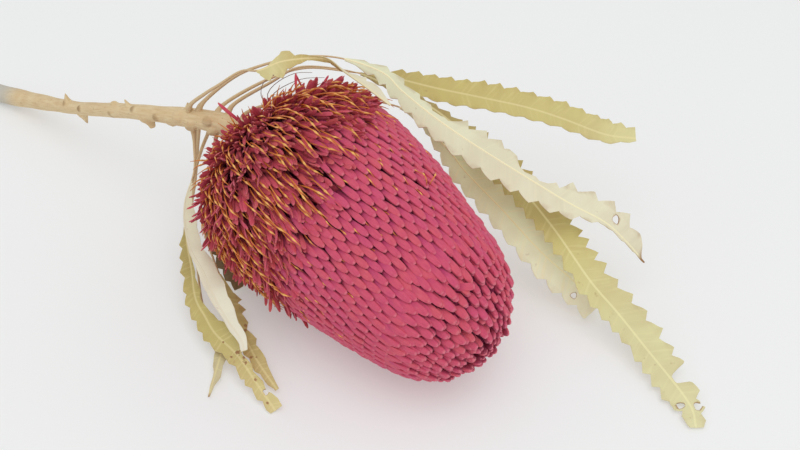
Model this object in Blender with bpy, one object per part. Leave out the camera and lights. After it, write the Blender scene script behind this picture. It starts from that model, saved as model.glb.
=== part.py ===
"""A dried banksia flower head lying on its side, on its cut stem and with its leaves.

The head is a blunt cylinder of tight florets, set in spirals round its axis. Near its base
the florets are open, and wiry styles stand out of them. The stem leaves the base, bends
down and rests on its cut end. Long saw-toothed leaves grow from the stem just behind the
head and fall past both of its sides.

The frame is +Z up, with the surface that the flower head lies on at z = 0. The origin is
the middle of the flat spot under the head, and +X runs along the row of things in view.
Lengths below are in millimetres and become metres where a mesh is made.
"""
import math
import random
from dataclasses import dataclass

import bpy
import bmesh
from mathutils import Vector

MM = 0.001
SEED = 7
GAP = 0.35

# The flower head: where its base is, and how its axis runs
HEAD_BASE = Vector((-28.0, 32.0, 39.2))
HEAD_TURN = math.radians(49.6)
HEAD_DROOP = math.radians(6.8)
# Distance from the base along the axis, and the radius over the florets' ends
HEAD_PROFILE = (
    (3, 6, 0), (1, 13, 0), (1, 19, 0), (4, 24, 0), (11, 31, 0), (23, 35.6, 0), (38, 36, 0),
    (57, 34, 0), (74, 30.6, 0), (91, 26.6, 0), (103, 21.5, 0), (111, 13.5, 0), (114, 5, 0),
    (114.5, 1, 0),
)
CORE_SIDES = 20
CORE_STEP = 8.0

# Florets, larger than life and in the real one's spirals
FLORET_COUNT = 310
FLORET_TURN = math.radians(137.508)
FLORET_PHASE = math.radians(48.0)
OPEN_SHARE = 0.29
BUD_LENGTH = 12.0
BUD_WIDTH = 5.2
BUD_HEIGHT = 4.2
BUD_ROOT_DEPTH = 4.4
BUD_TIP_DEPTH = 0.8
BUD_CORE_DEPTH = 2.4
PERIANTH_LENGTH = 12.5
PERIANTH_WIDTH = 3.6
OPEN_CORE_DEPTH = 8.0
STYLE_COUNT = 60
STYLE_SHARES = (0.05, 0.42)
STYLE_LENGTH = 17.0
STYLE_RADIUS = 0.55
FLAT_ANGLE = math.radians(1.0)
SHARP_ANGLE = math.radians(42.0)

# The stem's middle line from its cut end to its seat in the head, and its radius
STEM_ROUTE = (
    (-152, 124, 4), (-143, 120, 4), (-130, 111, 7), (-103, 86, 19), (-80, 64, 32), (-61, 49, 40),
    (-47, 40, 44), (-37, 37, 43), (-29, 32, 40), (-20, 23, 38),
)
STEM_RADII = (3.8, 3.8, 3.2, 2.7, 2.6, 2.7, 2.8, 3.1, 3.6, 3.9, 3.6)
STEM_SIDES = 10
SPUR_SIDES = 5
STEM_STEP = 7.0


@dataclass(frozen=True)
class Spur:
    """A short side growth on the stem.

    reach is its distance along the stem from the cut end and turn its angle round the stem
    from straight up, in degrees. length and radius are its own size.
    """
    reach: float
    turn: float
    length: float
    radius: float


SPURS = (
    Spur(reach=59, turn=10, length=4.4, radius=1.5),
    Spur(reach=66, turn=190, length=4.0, radius=1.8),
    Spur(reach=87, turn=20, length=1.8, radius=1.6),
    Spur(reach=105, turn=170, length=2.2, radius=2.0),
    Spur(reach=122, turn=-20, length=3.0, radius=1.2),
)


TO_VIEW = (0.0, -0.55, 0.84)


@dataclass(frozen=True)
class LeafPlan:
    """One leaf: its midrib's route out of the stem's middle line, and the blade along it.

    petiole is the distance along the route where the blade starts. left and right are the
    blade's half widths over the teeth, at even steps from there to its tip, as seen by
    someone who looks along the leaf from above. facing is where its upper face looks.
    """
    name: str
    route: tuple
    petiole: float
    left: tuple
    right: tuple
    tooth_pitch: float = 7.0
    tooth_depth: float = 0.28
    facing: tuple = TO_VIEW


LEAVES = (
    LeafPlan(
        name="leaf_front_right",
        route=((-38, 37, 44), (-37, 41, 49), (-23, 42, 58), (-13, 45, 62), (3, 44, 61), (15, 42, 57),
               (33, 37, 49), (55, 16, 39), (69, 1, 29), (81, -14, 18), (89, -22, 12), (97, -33, 7),
               (108, -52, 2), (109, -63, 1)),
        petiole=55.0, tooth_pitch=6.6,
        left=(1, 6, 7, 7.2, 7.2, 7.4, 7.4, 7.2, 6.4, 6, 3),
        right=(1, 4, 5.5, 6, 6.2, 6.8, 7.2, 7.2, 7, 6.5, 3),
    ),
    LeafPlan(
        name="leaf_pale_long",
        route=((-49, 41, 44), (-47, 41, 50), (-36, 41, 60), (-26, 39, 66), (-13, 38, 70), (0, 39, 69),
               (14, 35, 66), (21, 26, 64), (32, 16, 60), (45, 9, 54), (66, -1, 45), (75, -3, 40),
               (86, -3, 33), (94, -2, 24), (101, 0, 14)),
        petiole=62.0,
        left=(1, 4.5, 6.2, 6.2, 6.4, 6.6, 6.8, 6.8, 6.6, 5.5, 0.8),
        right=(1, 4.0, 5.6, 6.2, 6.2, 6.2, 5.5, 2.5, 0.9, 0.9, 0.6),
    ),
    LeafPlan(
        name="leaf_top_short",
        route=((-52, 43, 44), (-51, 40, 50), (-45, 36, 57), (-40, 35, 61), (-32, 34, 67), (-25, 28, 71),
               (-17, 27, 75), (-4, 25, 77), (3, 18, 76), (9, 12, 75), (17, 4, 73)),
        petiole=38.0,
        left=(1, 5, 5, 2, 1, 3, 4.5, 4.5, 3, 1), right=(1, 4.5, 5, 2, 1, 0.8, 0.8, 0.8, 0.8, 0.8),
    ),
    LeafPlan(
        name="leaf_back_right",
        route=((-42, 38, 44), (-41, 44, 47), (-26, 51, 53), (-13, 59, 53), (3, 58, 52), (17, 56, 51),
               (33, 52, 49), (49, 49, 47), (64, 46, 45), (76, 42, 43), (90, 37, 40), (101, 39, 37)),
        petiole=62.0, tooth_pitch=6.5,
        left=(1, 5.6, 5.8, 5.8, 5.8, 5.8, 5.4, 4), right=(1, 4.8, 5.2, 5.2, 5.2, 5.2, 4.8, 3),
    ),
    LeafPlan(
        name="leaf_behind_head",
        route=((-34, 35, 42), (-33, 44, 44), (-20, 50, 45), (-1, 52, 45), (20, 44, 43), (34, 32, 39),
               (42, 22, 35), (54, 10, 28), (66, 0, 19), (78, -6, 10), (85, -12, 5)),
        petiole=65.0, tooth_pitch=7.5, tooth_depth=0.2,
        left=(1, 5, 6.6, 6.8, 6.8, 6.6, 5.5, 2), right=(1, 5, 6.6, 7, 7.8, 8.4, 8.2, 5),
    ),
    LeafPlan(
        name="leaf_left_pale",
        route=((-52, 43, 43), (-51, 41, 39), (-51, 39, 32), (-52, 33, 27), (-54, 22, 23), (-52, 12, 21),
               (-49, 1, 19), (-44, -8, 17), (-40, -17, 15), (-35, -26, 13), (-30, -34, 12),
               (-28, -39, 11)),
        petiole=24.0, tooth_pitch=9.0, tooth_depth=0.06,
        left=(1, 1.6, 2.6, 3.8, 4.6, 4.6, 4.2, 3, 1), right=(1, 1.6, 2.6, 3.8, 4.6, 4.6, 4, 2.5, 1),
    ),
    LeafPlan(
        name="leaf_left_green",
        route=((-46, 40, 44), (-46, 43, 38), (-49, 41, 31), (-52, 34, 23), (-54, 26, 16), (-53, 16, 11),
               (-50, 3, 9), (-47, -11, 8), (-43, -19, 7), (-39, -26, 6), (-31, -36, 6), (-25, -45, 4),
               (-18, -55, 1)),
        petiole=40.0, tooth_pitch=5.6,
        left=(1, 2.5, 3.5, 4.5, 5, 5, 4.5, 3.5, 1), right=(1, 3.8, 4.4, 4.6, 4.8, 5, 5, 4, 1),
    ),
    LeafPlan(
        name="leaf_left_inner",
        route=((-42, 38, 44), (-43, 41, 38), (-45, 37, 30), (-47, 30, 21), (-47, 19, 13), (-43, 7, 10),
               (-39, -3, 8), (-34, -16, 6), (-29, -28, 5), (-24, -38, 4), (-18, -47, 2)),
        petiole=62.0,
        left=(1, 3.8, 5, 5, 4.5, 3.5, 1), right=(1, 3.8, 5, 5, 4.5, 3.5, 1),
    ),
    LeafPlan(
        name="leaf_left_lowest",
        route=((-49, 41, 43), (-50, 46, 37), (-52, 49, 25), (-53, 44, 16), (-54, 34, 8), (-51, 19, 4),
               (-46, -6, 3), (-41, -21, 3), (-37, -28, 3), (-37, -34, 3), (-38, -41, 2), (-39, -49, 1)),
        petiole=92.0, tooth_pitch=8.0, tooth_depth=0.15,
        left=(1, 3.2, 3.4, 2, 0.8, 0.6), right=(1, 3.2, 3.4, 2, 0.8, 0.6),
    ),
    LeafPlan(
        name="leaf_under_head",
        route=((-38, 37, 43), (-39, 41, 37), (-42, 38, 29), (-45, 33, 20), (-46, 27, 13), (-42, 18, 7),
               (-38, 9, 4), (-34, 1, 2)),
        petiole=26.0, tooth_depth=0.3,
        left=(1, 3, 4, 4.4, 4, 2), right=(1, 3, 4, 4.4, 4, 2),
    ),
)
PETIOLE_STEP = 9.0
PETIOLE_HALF = 0.9
BLADE_EDGE = 0.32
BLADE_MIDDLE = 0.5
BLADE_FOLD = 0.12
BLADE_WAVE = 0.5
# How far from one notch to the next a tooth has its point
TOOTH_POINT = 0.68


def smooth_path(route: tuple, step: float = 1.0) -> list:
    """Points close together on a smooth curve that passes through the route's points."""
    knots = [Vector(p) for p in route]
    knots = [2 * knots[0] - knots[1]] + knots + [2 * knots[-1] - knots[-2]]
    points = []
    for before, start, end, after in zip(knots, knots[1:], knots[2:], knots[3:]):
        count = max(2, round((end - start).length / step))
        for i in range(count):
            t = i / count
            points.append(0.5 * (2 * start + (end - before) * t
                                 + (2 * before - 5 * start + 4 * end - after) * t * t
                                 + (3 * start - before - 3 * end + after) * t ** 3))
    points.append(knots[-2])
    return points


class Path:
    """A smooth route that gives its point and direction at any distance along it."""

    def __init__(self, route: tuple):
        self.points = smooth_path(route)
        self.reach = [0.0]
        for a, b in zip(self.points, self.points[1:]):
            self.reach.append(self.reach[-1] + (b - a).length)
        self.length = self.reach[-1]

    def at(self, distance: float) -> tuple:
        """The point and the unit direction at a distance from the start."""
        distance = min(max(distance, 0.0), self.length)
        i = 0
        while i < len(self.reach) - 2 and self.reach[i + 1] < distance:
            i += 1
        a, b = self.points[i], self.points[i + 1]
        along = (distance - self.reach[i]) / (self.reach[i + 1] - self.reach[i])
        low, high = max(i - 1, 0), min(i + 2, len(self.points) - 1)
        return a.lerp(b, along), (self.points[high] - self.points[low]).normalized()


def between(values: tuple, share: float):
    """The value at a share of the way along a list, straight between its items."""
    place = min(max(share, 0.0), 1.0) * (len(values) - 1)
    i = min(int(place), len(values) - 2)
    return values[i] + (values[i + 1] - values[i]) * (place - i)


def rise(x: float) -> float:
    """A smooth step from 0 to 1."""
    x = min(max(x, 0.0), 1.0)
    return x * x * (3 - 2 * x)


def material(name: str, colour: tuple, roughness: float) -> bpy.types.Material:
    """A plain finish with one colour."""
    made = bpy.data.materials.new(name)
    made.use_nodes = True
    shader = made.node_tree.nodes["Principled BSDF"]
    shader.inputs["Base Color"].default_value = (*colour, 1.0)
    shader.inputs["Roughness"].default_value = roughness
    shader.inputs["Metallic"].default_value = 0.0
    return made


def to_object(name: str, bm: bmesh.types.BMesh, finish: bpy.types.Material) -> bpy.types.Object:
    """Make an object of a mesh drawn in millimetres."""
    bmesh.ops.scale(bm, vec=(MM, MM, MM), verts=bm.verts)
    bmesh.ops.triangulate(bm, faces=bm.faces)
    bmesh.ops.recalc_face_normals(bm, faces=bm.faces)
    mesh = bpy.data.meshes.new(name)
    bm.to_mesh(mesh)
    bm.free()
    made = bpy.data.objects.new(name, mesh)
    made.data.materials.append(finish)
    bpy.context.scene.collection.objects.link(made)
    return made


def add_loft(bm: bmesh.types.BMesh, rings: list) -> None:
    """Add a closed body through rings of points, with a flat cap at each end."""
    made = [[bm.verts.new(p) for p in ring] for ring in rings]
    sides = len(made[0])
    for low, high in zip(made, made[1:]):
        for i in range(sides):
            j = (i + 1) % sides
            bm.faces.new((low[i], low[j], high[j], high[i]))
    bm.faces.new(reversed(made[0]))
    bm.faces.new(made[-1])


def cross_axes(direction: Vector, facing: Vector) -> tuple:
    """The side and the upper face's direction across a path."""
    side = direction.cross(facing).normalized()
    return side, side.cross(direction).normalized()


def leaf_ring(point: Vector, side: Vector, up: Vector, halves: tuple, thickness: tuple,
              lifts: tuple) -> list:
    """Six points round a leaf: the left edge, midrib and right edge above, and back below.

    halves are the half widths to the left and right, thickness the half thickness at the
    edges and at the midrib, and lifts how far each edge is bent up.
    """
    left = point - side * halves[0] + up * lifts[0]
    right = point + side * halves[1] + up * lifts[1]
    edge, middle = thickness
    return [left + up * edge, point + up * middle, right + up * edge,
            right - up * edge, point - up * middle, left - up * edge]


def leaf_rings(plan: LeafPlan) -> list:
    """The rings of one leaf, from the petiole's root to the blade's tip."""
    path = Path(plan.route)
    facing = Vector(plan.facing)
    rings = []
    for i in range(round(plan.petiole / PETIOLE_STEP)):
        point, direction = path.at(i * PETIOLE_STEP)
        side, up = cross_axes(direction, facing)
        rings.append(leaf_ring(point, side, up, (PETIOLE_HALF, PETIOLE_HALF),
                               (PETIOLE_HALF * 0.5, PETIOLE_HALF), (0, 0)))
    blade = path.length - plan.petiole
    teeth = round(blade / plan.tooth_pitch)
    for k in range(2 * teeth):
        is_point = k % 2 == 1
        share = (k // 2 + (TOOTH_POINT if is_point else 0.0)) / teeth
        depth = 1.0 if is_point else 1.0 - plan.tooth_depth
        halves = [max(PETIOLE_HALF * 0.6, depth * between(half, share)) for half in (plan.left, plan.right)]
        wave = BLADE_WAVE if is_point else -BLADE_WAVE
        lifts = [BLADE_FOLD * half + wave * rise(half / 4.0) for half in halves]
        point, direction = path.at(plan.petiole + blade * share)
        side, up = cross_axes(direction, facing)
        rings.append(leaf_ring(point, side, up, halves, (BLADE_EDGE, BLADE_MIDDLE), lifts))
    point, direction = path.at(path.length)
    side, up = cross_axes(direction, facing)
    rings.append(leaf_ring(point, side, up, (0.7, 0.7), (BLADE_EDGE, BLADE_MIDDLE), (0, 0)))
    return rings


def build_leaf(plan: LeafPlan, finish: bpy.types.Material) -> bpy.types.Object:
    """A leaf as one thin solid, split into triangles alike on both faces."""
    bm = bmesh.new()
    rings = [[bm.verts.new(p) for p in ring] for ring in leaf_rings(plan)]
    for low, high in zip(rings, rings[1:]):
        for outer, rib in ((0, 1), (2, 1), (3, 4), (5, 4)):
            bm.faces.new((low[outer], low[rib], high[rib]))
            bm.faces.new((low[outer], high[rib], high[outer]))
        for i, j in ((2, 3), (5, 0)):
            bm.faces.new((low[i], low[j], high[j], high[i]))
    for ring in (rings[0], rings[-1]):
        bm.faces.new((ring[0], ring[1], ring[4], ring[5]))
        bm.faces.new((ring[1], ring[2], ring[3], ring[4]))
    leaf = to_object(plan.name, bm, finish)
    seat = bmesh.new()
    add_loft(seat, stem_rings(Path(STEM_ROUTE), GAP, 0.0))
    cut_away(leaf, seat, finish)
    keep_largest(leaf)
    shade_round(leaf)
    return leaf


def stem_rings(path: Path, extra: float, beyond: float) -> list:
    """Round rings along the stem, with some extra radius and some length past its seat."""
    steps = round(path.length / STEM_STEP)
    rings = []
    for i in range(steps + 1):
        point, direction = path.at(i / steps * path.length)
        side, up = cross_axes(direction, Vector((0, 0, 1)))
        radius = between(STEM_RADII, i / steps) + extra
        if i == steps:
            point = point + direction * beyond
        rings.append([point + radius * (math.cos(turn) * side + math.sin(turn) * up)
                      for turn in (math.tau * k / STEM_SIDES for k in range(STEM_SIDES))])
    return rings


def build_stem(finish: bpy.types.Material) -> bpy.types.Object:
    """The stem with its spurs, from its cut end to its seat in the head."""
    path = Path(STEM_ROUTE)
    bm = bmesh.new()
    add_loft(bm, stem_rings(path, 0.0, 0.0))
    stem = to_object("stem", bm, finish)
    spurs = []
    for spur in SPURS:
        point, direction = path.at(spur.reach)
        side, up = cross_axes(direction, Vector((0, 0, 1)))
        turn = math.radians(spur.turn)
        out = math.cos(turn) * up + math.sin(turn) * side
        radius = between(STEM_RADII, spur.reach / path.length)
        foot = out * 0.5 * radius
        point_end = out * (radius + spur.length) + direction * 0.8
        spurs.append([spur_ring(point, direction, spur.radius, foot),
                      spur_ring(point, direction, spur.radius * 0.3, point_end)])
    fuse(stem, spurs, finish)
    shade_round(stem)
    return stem


def spur_ring(point: Vector, direction: Vector, radius: float, shift: Vector) -> list:
    """A small ring that lies along the stem, moved out from its middle."""
    out = shift.normalized()
    across = out.cross(direction).normalized()
    along = across.cross(out)
    return [point + shift + radius * (math.cos(turn) * along + math.sin(turn) * across)
            for turn in (math.tau * k / SPUR_SIDES for k in range(SPUR_SIDES))]


class HeadForm:
    """The surface over the florets' ends, and places on it by the area before them."""

    def __init__(self):
        self.outline = Path(HEAD_PROFILE)
        flat = math.cos(HEAD_DROOP)
        self.axis = Vector((math.cos(HEAD_TURN) * flat, -math.sin(HEAD_TURN) * flat,
                            -math.sin(HEAD_DROOP)))
        self.side = Vector((math.sin(HEAD_TURN), math.cos(HEAD_TURN), 0.0))
        self.up = self.side.cross(self.axis)
        self.area = [0.0]
        for a, b in zip(self.outline.points, self.outline.points[1:]):
            self.area.append(self.area[-1] + (a.y + b.y) * (b - a).length)

    def reach_at(self, share: float) -> float:
        """The distance along the outline that has this share of the surface before it."""
        wanted = share * self.area[-1]
        i = 0
        while self.area[i + 1] < wanted:
            i += 1
        part = (wanted - self.area[i]) / (self.area[i + 1] - self.area[i])
        reach = self.outline.reach
        return reach[i] + (reach[i + 1] - reach[i]) * part

    def place(self, reach: float, turn: float, depth: float) -> tuple:
        """A point under the surface, with the directions towards the tip and outwards."""
        point, direction = self.outline.at(reach)
        out = math.cos(turn) * self.side + math.sin(turn) * self.up
        onward = direction.x * self.axis + direction.y * out
        outward = direction.x * out - direction.y * self.axis
        spot = HEAD_BASE + point.x * self.axis + point.y * out - depth * outward
        return spot, onward, outward


def section(centre: Vector, across: Vector, outward: Vector, width: float, height: float) -> list:
    """A four-cornered section with a ridge on top."""
    return [centre - across * width / 2, centre + outward * height / 2,
            centre + across * width / 2, centre - outward * height / 2]


def bud(form: HeadForm, reach: float, turn: float) -> list:
    """A closed floret: club-shaped, lying towards the head's tip with its root sunk in."""
    tip, _, outward = form.place(reach, turn, BUD_TIP_DEPTH)
    root, _, _ = form.place(max(reach - BUD_LENGTH, 0.0), turn, BUD_ROOT_DEPTH)
    along = (tip - root).normalized()
    across = along.cross(outward).normalized()
    outward = across.cross(along)
    return [section(root, across, outward, BUD_WIDTH * 0.7, BUD_HEIGHT * 0.7),
            section(root.lerp(tip, 0.78), across, outward, BUD_WIDTH, BUD_HEIGHT),
            section(tip, across, outward, BUD_WIDTH * 0.45, BUD_HEIGHT * 0.45)]


def perianth(form: HeadForm, reach: float, turn: float, draw: random.Random) -> list:
    """An open floret: a strip that splays out and curls back at its end."""
    root, onward, outward = form.place(reach, turn, OPEN_CORE_DEPTH + 1.5)
    across = onward.cross(outward).normalized()
    lean = draw.uniform(0.1, 0.9)
    sway = draw.uniform(-0.55, 0.55)
    first = (outward + lean * onward + sway * across).normalized()
    second = (outward * draw.uniform(0.0, 0.6) + onward * draw.uniform(0.4, 1.0)
              + across * sway * 1.6).normalized()
    middle = root + first * PERIANTH_LENGTH * 0.6
    end = middle + second * PERIANTH_LENGTH * draw.uniform(0.35, 0.5)
    side = first.cross(outward + across * draw.uniform(-1.2, 1.2)).normalized()
    face = side.cross(first).normalized()
    width = PERIANTH_WIDTH * draw.uniform(0.8, 1.1)

    def strip(centre: Vector, share: float) -> list:
        return [centre - side * width * share / 2, centre + side * width * share / 2,
                centre + face * 1.3 * share]

    return [strip(root, 0.7), strip(middle, 1.0), strip(end, 0.35)]


def style(form: HeadForm, reach: float, turn: float, draw: random.Random) -> list:
    """A wiry style that arches out of the open florets towards the head's tip."""
    root, onward, outward = form.place(reach, turn, OPEN_CORE_DEPTH * 0.7)
    across = onward.cross(outward).normalized()
    sway = draw.uniform(-0.3, 0.3)
    first = (outward * 0.75 + onward * 0.7 + across * sway).normalized()
    second = (outward * 0.1 + onward + across * sway).normalized()
    middle = root + first * STYLE_LENGTH * 0.5
    end = middle + second * STYLE_LENGTH * 0.5

    def ring(centre: Vector, radius: float) -> list:
        return [centre + radius * (math.cos(k) * across + math.sin(k) * outward)
                for k in (0.5, 0.5 + math.tau / 3, 0.5 + math.tau * 2 / 3)]

    return [ring(root, STYLE_RADIUS), ring(middle, STYLE_RADIUS), ring(end, STYLE_RADIUS * 0.4)]


def core_depth(form: HeadForm, reach: float) -> float:
    """How far under the florets' ends the core lies: deeper where they are open."""
    start = form.reach_at(OPEN_SHARE * 0.7)
    end = form.reach_at(OPEN_SHARE * 1.15)
    return OPEN_CORE_DEPTH + (BUD_CORE_DEPTH - OPEN_CORE_DEPTH) * rise((reach - start) / (end - start))


def core_rings(form: HeadForm) -> list:
    """The dense middle of the head that the florets stand out of."""
    rings = []
    steps = round(form.outline.length / CORE_STEP)
    for i in range(steps + 1):
        reach = form.outline.length * i / steps
        rings.append([form.place(reach, turn, core_depth(form, reach))[0]
                      for turn in (math.tau * k / CORE_SIDES for k in range(CORE_SIDES))])
    return rings


def fuse(target: bpy.types.Object, bodies: list, finish: bpy.types.Material) -> None:
    """Join closed bodies, each given by its rings, to an object in one Boolean union."""
    pieces = bpy.data.collections.new("pieces")
    bpy.context.scene.collection.children.link(pieces)
    for rings in bodies:
        bm = bmesh.new()
        add_loft(bm, rings)
        piece = to_object("piece", bm, finish)
        bpy.context.scene.collection.objects.unlink(piece)
        pieces.objects.link(piece)
    union = target.modifiers.new("union", "BOOLEAN")
    union.operation = "UNION"
    union.operand_type = "COLLECTION"
    union.collection = pieces
    union.solver = "MANIFOLD"
    apply_modifiers(target)
    for piece in list(pieces.objects):
        bpy.data.objects.remove(piece, do_unlink=True)
    bpy.data.collections.remove(pieces)


def cut_away(target: bpy.types.Object, bm: bmesh.types.BMesh, finish: bpy.types.Material) -> None:
    """Cut one closed body out of an object."""
    cutter = to_object("cutter", bm, finish)
    cut = target.modifiers.new("cut", "BOOLEAN")
    cut.operation = "DIFFERENCE"
    cut.object = cutter
    cut.solver = "MANIFOLD"
    apply_modifiers(target)
    bpy.data.objects.remove(cutter, do_unlink=True)


def apply_modifiers(target: bpy.types.Object) -> None:
    """Turn an object's modifiers into its own mesh."""
    graph = bpy.context.evaluated_depsgraph_get()
    mesh = bpy.data.meshes.new_from_object(target.evaluated_get(graph))
    target.modifiers.clear()
    target.data = mesh


def keep_largest(target: bpy.types.Object) -> None:
    """Drop the loose scraps that a cut leaves."""
    bm = bmesh.new()
    bm.from_mesh(target.data)
    left = set(bm.faces)
    islands = []
    while left:
        island, edge = [], [left.pop()]
        while edge:
            face = edge.pop()
            island.append(face)
            for other in (f for link in face.edges for f in link.link_faces):
                if other in left:
                    left.discard(other)
                    edge.append(other)
        islands.append(island)
    islands.sort(key=len)
    scraps = [face for island in islands[:-1] for face in island]
    bmesh.ops.delete(bm, geom=scraps, context="FACES")
    bm.to_mesh(target.data)
    bm.free()


def merge_flat(target: bpy.types.Object) -> None:
    """Join the slivers that a union leaves on flat faces, and split those faces afresh."""
    bm = bmesh.new()
    bm.from_mesh(target.data)
    bmesh.ops.dissolve_limit(bm, angle_limit=FLAT_ANGLE, verts=bm.verts, edges=bm.edges)
    bmesh.ops.triangulate(bm, faces=bm.faces)
    bm.to_mesh(target.data)
    bm.free()


def shade_round(target: bpy.types.Object) -> None:
    """Shade an object smooth, with its folds and corners still sharp."""
    target.data.shade_smooth()
    target.data.set_sharp_from_angle(angle=SHARP_ANGLE)


def build_head(finish: bpy.types.Material) -> bpy.types.Object:
    """The flower head: a core with its florets and styles fused to it."""
    form = HeadForm()
    draw = random.Random(SEED)
    bm = bmesh.new()
    add_loft(bm, core_rings(form))
    head = to_object("flower_head", bm, finish)
    bodies = []
    for i in range(FLORET_COUNT):
        share = (i + 0.5) / FLORET_COUNT
        turn = FLORET_PHASE + i * FLORET_TURN
        if share < OPEN_SHARE:
            bodies.append(perianth(form, form.reach_at(share), turn, draw))
        else:
            bodies.append(bud(form, form.reach_at(share), turn))
    first, last = STYLE_SHARES
    for i in range(STYLE_COUNT):
        share = first + (last - first) * (i + 0.5) / STYLE_COUNT
        turn = i * FLORET_TURN + draw.uniform(-0.1, 0.1)
        bodies.append(style(form, form.reach_at(share), turn, draw))
    fuse(head, bodies, finish)
    seat = bmesh.new()
    add_loft(seat, stem_rings(Path(STEM_ROUTE), GAP, GAP))
    cut_away(head, seat, finish)
    ground = bmesh.new()
    bmesh.ops.create_cube(ground, size=400.0)
    bmesh.ops.translate(ground, verts=ground.verts, vec=(0, 0, -200))
    cut_away(head, ground, finish)
    merge_flat(head)
    keep_largest(head)
    shade_round(head)
    return head


def clear_scene() -> None:
    """Remove whatever the scene starts with."""
    for old in list(bpy.data.objects):
        bpy.data.objects.remove(old, do_unlink=True)


def main() -> None:
    """Build every piece."""
    clear_scene()
    build_head(material("floret", (0.55, 0.08, 0.16), 0.8))
    build_stem(material("bark", (0.58, 0.45, 0.30), 0.8))
    for plan in LEAVES:
        build_leaf(plan, material(plan.name, (0.55, 0.50, 0.22), 0.6))


main()
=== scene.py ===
"""The looks of a dried banksia flower head that lies on its side, with its stem and leaves.

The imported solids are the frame. Every visible piece here replaces one of them with a finer
one on the same lines: some 1,800 florets in the head's spirals, their styles, the stem with
its knobs and scars, and ten saw-toothed leaves. Sizes are in millimetres in the classes and
become metres where a piece is finished.
"""

import bisect
import logging
import math
import random
from dataclasses import dataclass
from enum import Enum

import bmesh
import bpy
from mathutils import Matrix, Vector
from mathutils.kdtree import KDTree

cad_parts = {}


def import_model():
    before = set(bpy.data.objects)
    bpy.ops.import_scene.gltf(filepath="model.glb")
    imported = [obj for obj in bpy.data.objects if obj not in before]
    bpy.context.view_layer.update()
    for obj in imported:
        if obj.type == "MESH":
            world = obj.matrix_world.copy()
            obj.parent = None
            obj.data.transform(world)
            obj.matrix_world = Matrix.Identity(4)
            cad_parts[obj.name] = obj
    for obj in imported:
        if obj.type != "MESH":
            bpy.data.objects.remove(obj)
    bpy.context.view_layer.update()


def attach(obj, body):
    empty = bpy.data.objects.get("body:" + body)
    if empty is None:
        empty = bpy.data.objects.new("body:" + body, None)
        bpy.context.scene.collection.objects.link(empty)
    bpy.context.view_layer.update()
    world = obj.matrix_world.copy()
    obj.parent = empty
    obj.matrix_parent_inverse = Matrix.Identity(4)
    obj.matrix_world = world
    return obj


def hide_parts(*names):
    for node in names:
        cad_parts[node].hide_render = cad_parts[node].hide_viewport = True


log = logging.getLogger("banksia")

MM = 0.001
BODY = "root"
TO_VIEW = Vector((0.0, -0.55, 0.84))
UP = Vector((0.0, 0.0, 1.0))


# Curves and small helpers

class Route:
    """A smooth line through control points, which gives its place at any distance."""

    def __init__(self, knots: tuple, step: float = 1.0) -> None:
        """Draw the line.

        Args:
            knots: points in millimetres that the line passes through.
            step: how far apart its own points are, about.
        """
        known = [Vector(knot) for knot in knots]
        known = [2 * known[0] - known[1]] + known + [2 * known[-1] - known[-2]]
        self.points = []
        for before, start, end, after in zip(known, known[1:], known[2:], known[3:]):
            count = max(2, round((end - start).length / step))
            for i in range(count):
                t = i / count
                self.points.append(0.5 * (2 * start + (end - before) * t
                                          + (2 * before - 5 * start + 4 * end - after) * t * t
                                          + (3 * start - before - 3 * end + after) * t ** 3))
        self.points.append(known[-2])
        self.reach = [0.0]
        for a, b in zip(self.points, self.points[1:]):
            self.reach.append(self.reach[-1] + (b - a).length)
        self.length = self.reach[-1]

    def at(self, distance: float) -> tuple[Vector, Vector]:
        """Find a place on the line.

        Args:
            distance: how far along it, in millimetres.

        Returns:
            The point and the unit direction there.
        """
        distance = min(max(distance, 0.0), self.length)
        i = min(max(bisect.bisect_left(self.reach, distance) - 1, 0), len(self.reach) - 2)
        along = (distance - self.reach[i]) / (self.reach[i + 1] - self.reach[i])
        low, high = max(i - 1, 0), min(i + 2, len(self.points) - 1)
        direction = (self.points[high] - self.points[low]).normalized()
        return self.points[i].lerp(self.points[i + 1], along), direction


def between(values: tuple, share: float) -> float:
    """Read a list of evenly spaced values.

    Args:
        values: the values from start to end.
        share: how far along the list, from 0 to 1.

    Returns:
        The value there, straight between its neighbours.
    """
    place = min(max(share, 0.0), 1.0) * (len(values) - 1)
    i = min(int(place), len(values) - 2)
    return values[i] + (values[i + 1] - values[i]) * (place - i)


def rise(x: float) -> float:
    """Step smoothly from 0 to 1."""
    x = min(max(x, 0.0), 1.0)
    return x * x * (3 - 2 * x)


def cross_axes(direction: Vector, facing: Vector) -> tuple[Vector, Vector]:
    """Find the axes across a line.

    Args:
        direction: the line's unit direction.
        facing: where the upper side looks, about.

    Returns:
        The side to the right as seen from above, and the upper side's own direction.
    """
    side = direction.cross(facing).normalized()
    return side, side.cross(direction).normalized()


def section(centre: Vector, across: Vector, up: Vector, wide: float, tall: float) -> Matrix:
    """Place one section of a tube.

    Args:
        centre: the section's middle.
        across: its unit direction to the side.
        up: its unit direction upwards.
        wide: its half width.
        tall: its half height.

    Returns:
        The matrix that puts a unit circle there.
    """
    axes = Matrix((across * wide, up * tall, across.cross(up))).transposed()
    return Matrix.Translation(centre) @ axes.to_4x4()


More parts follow.
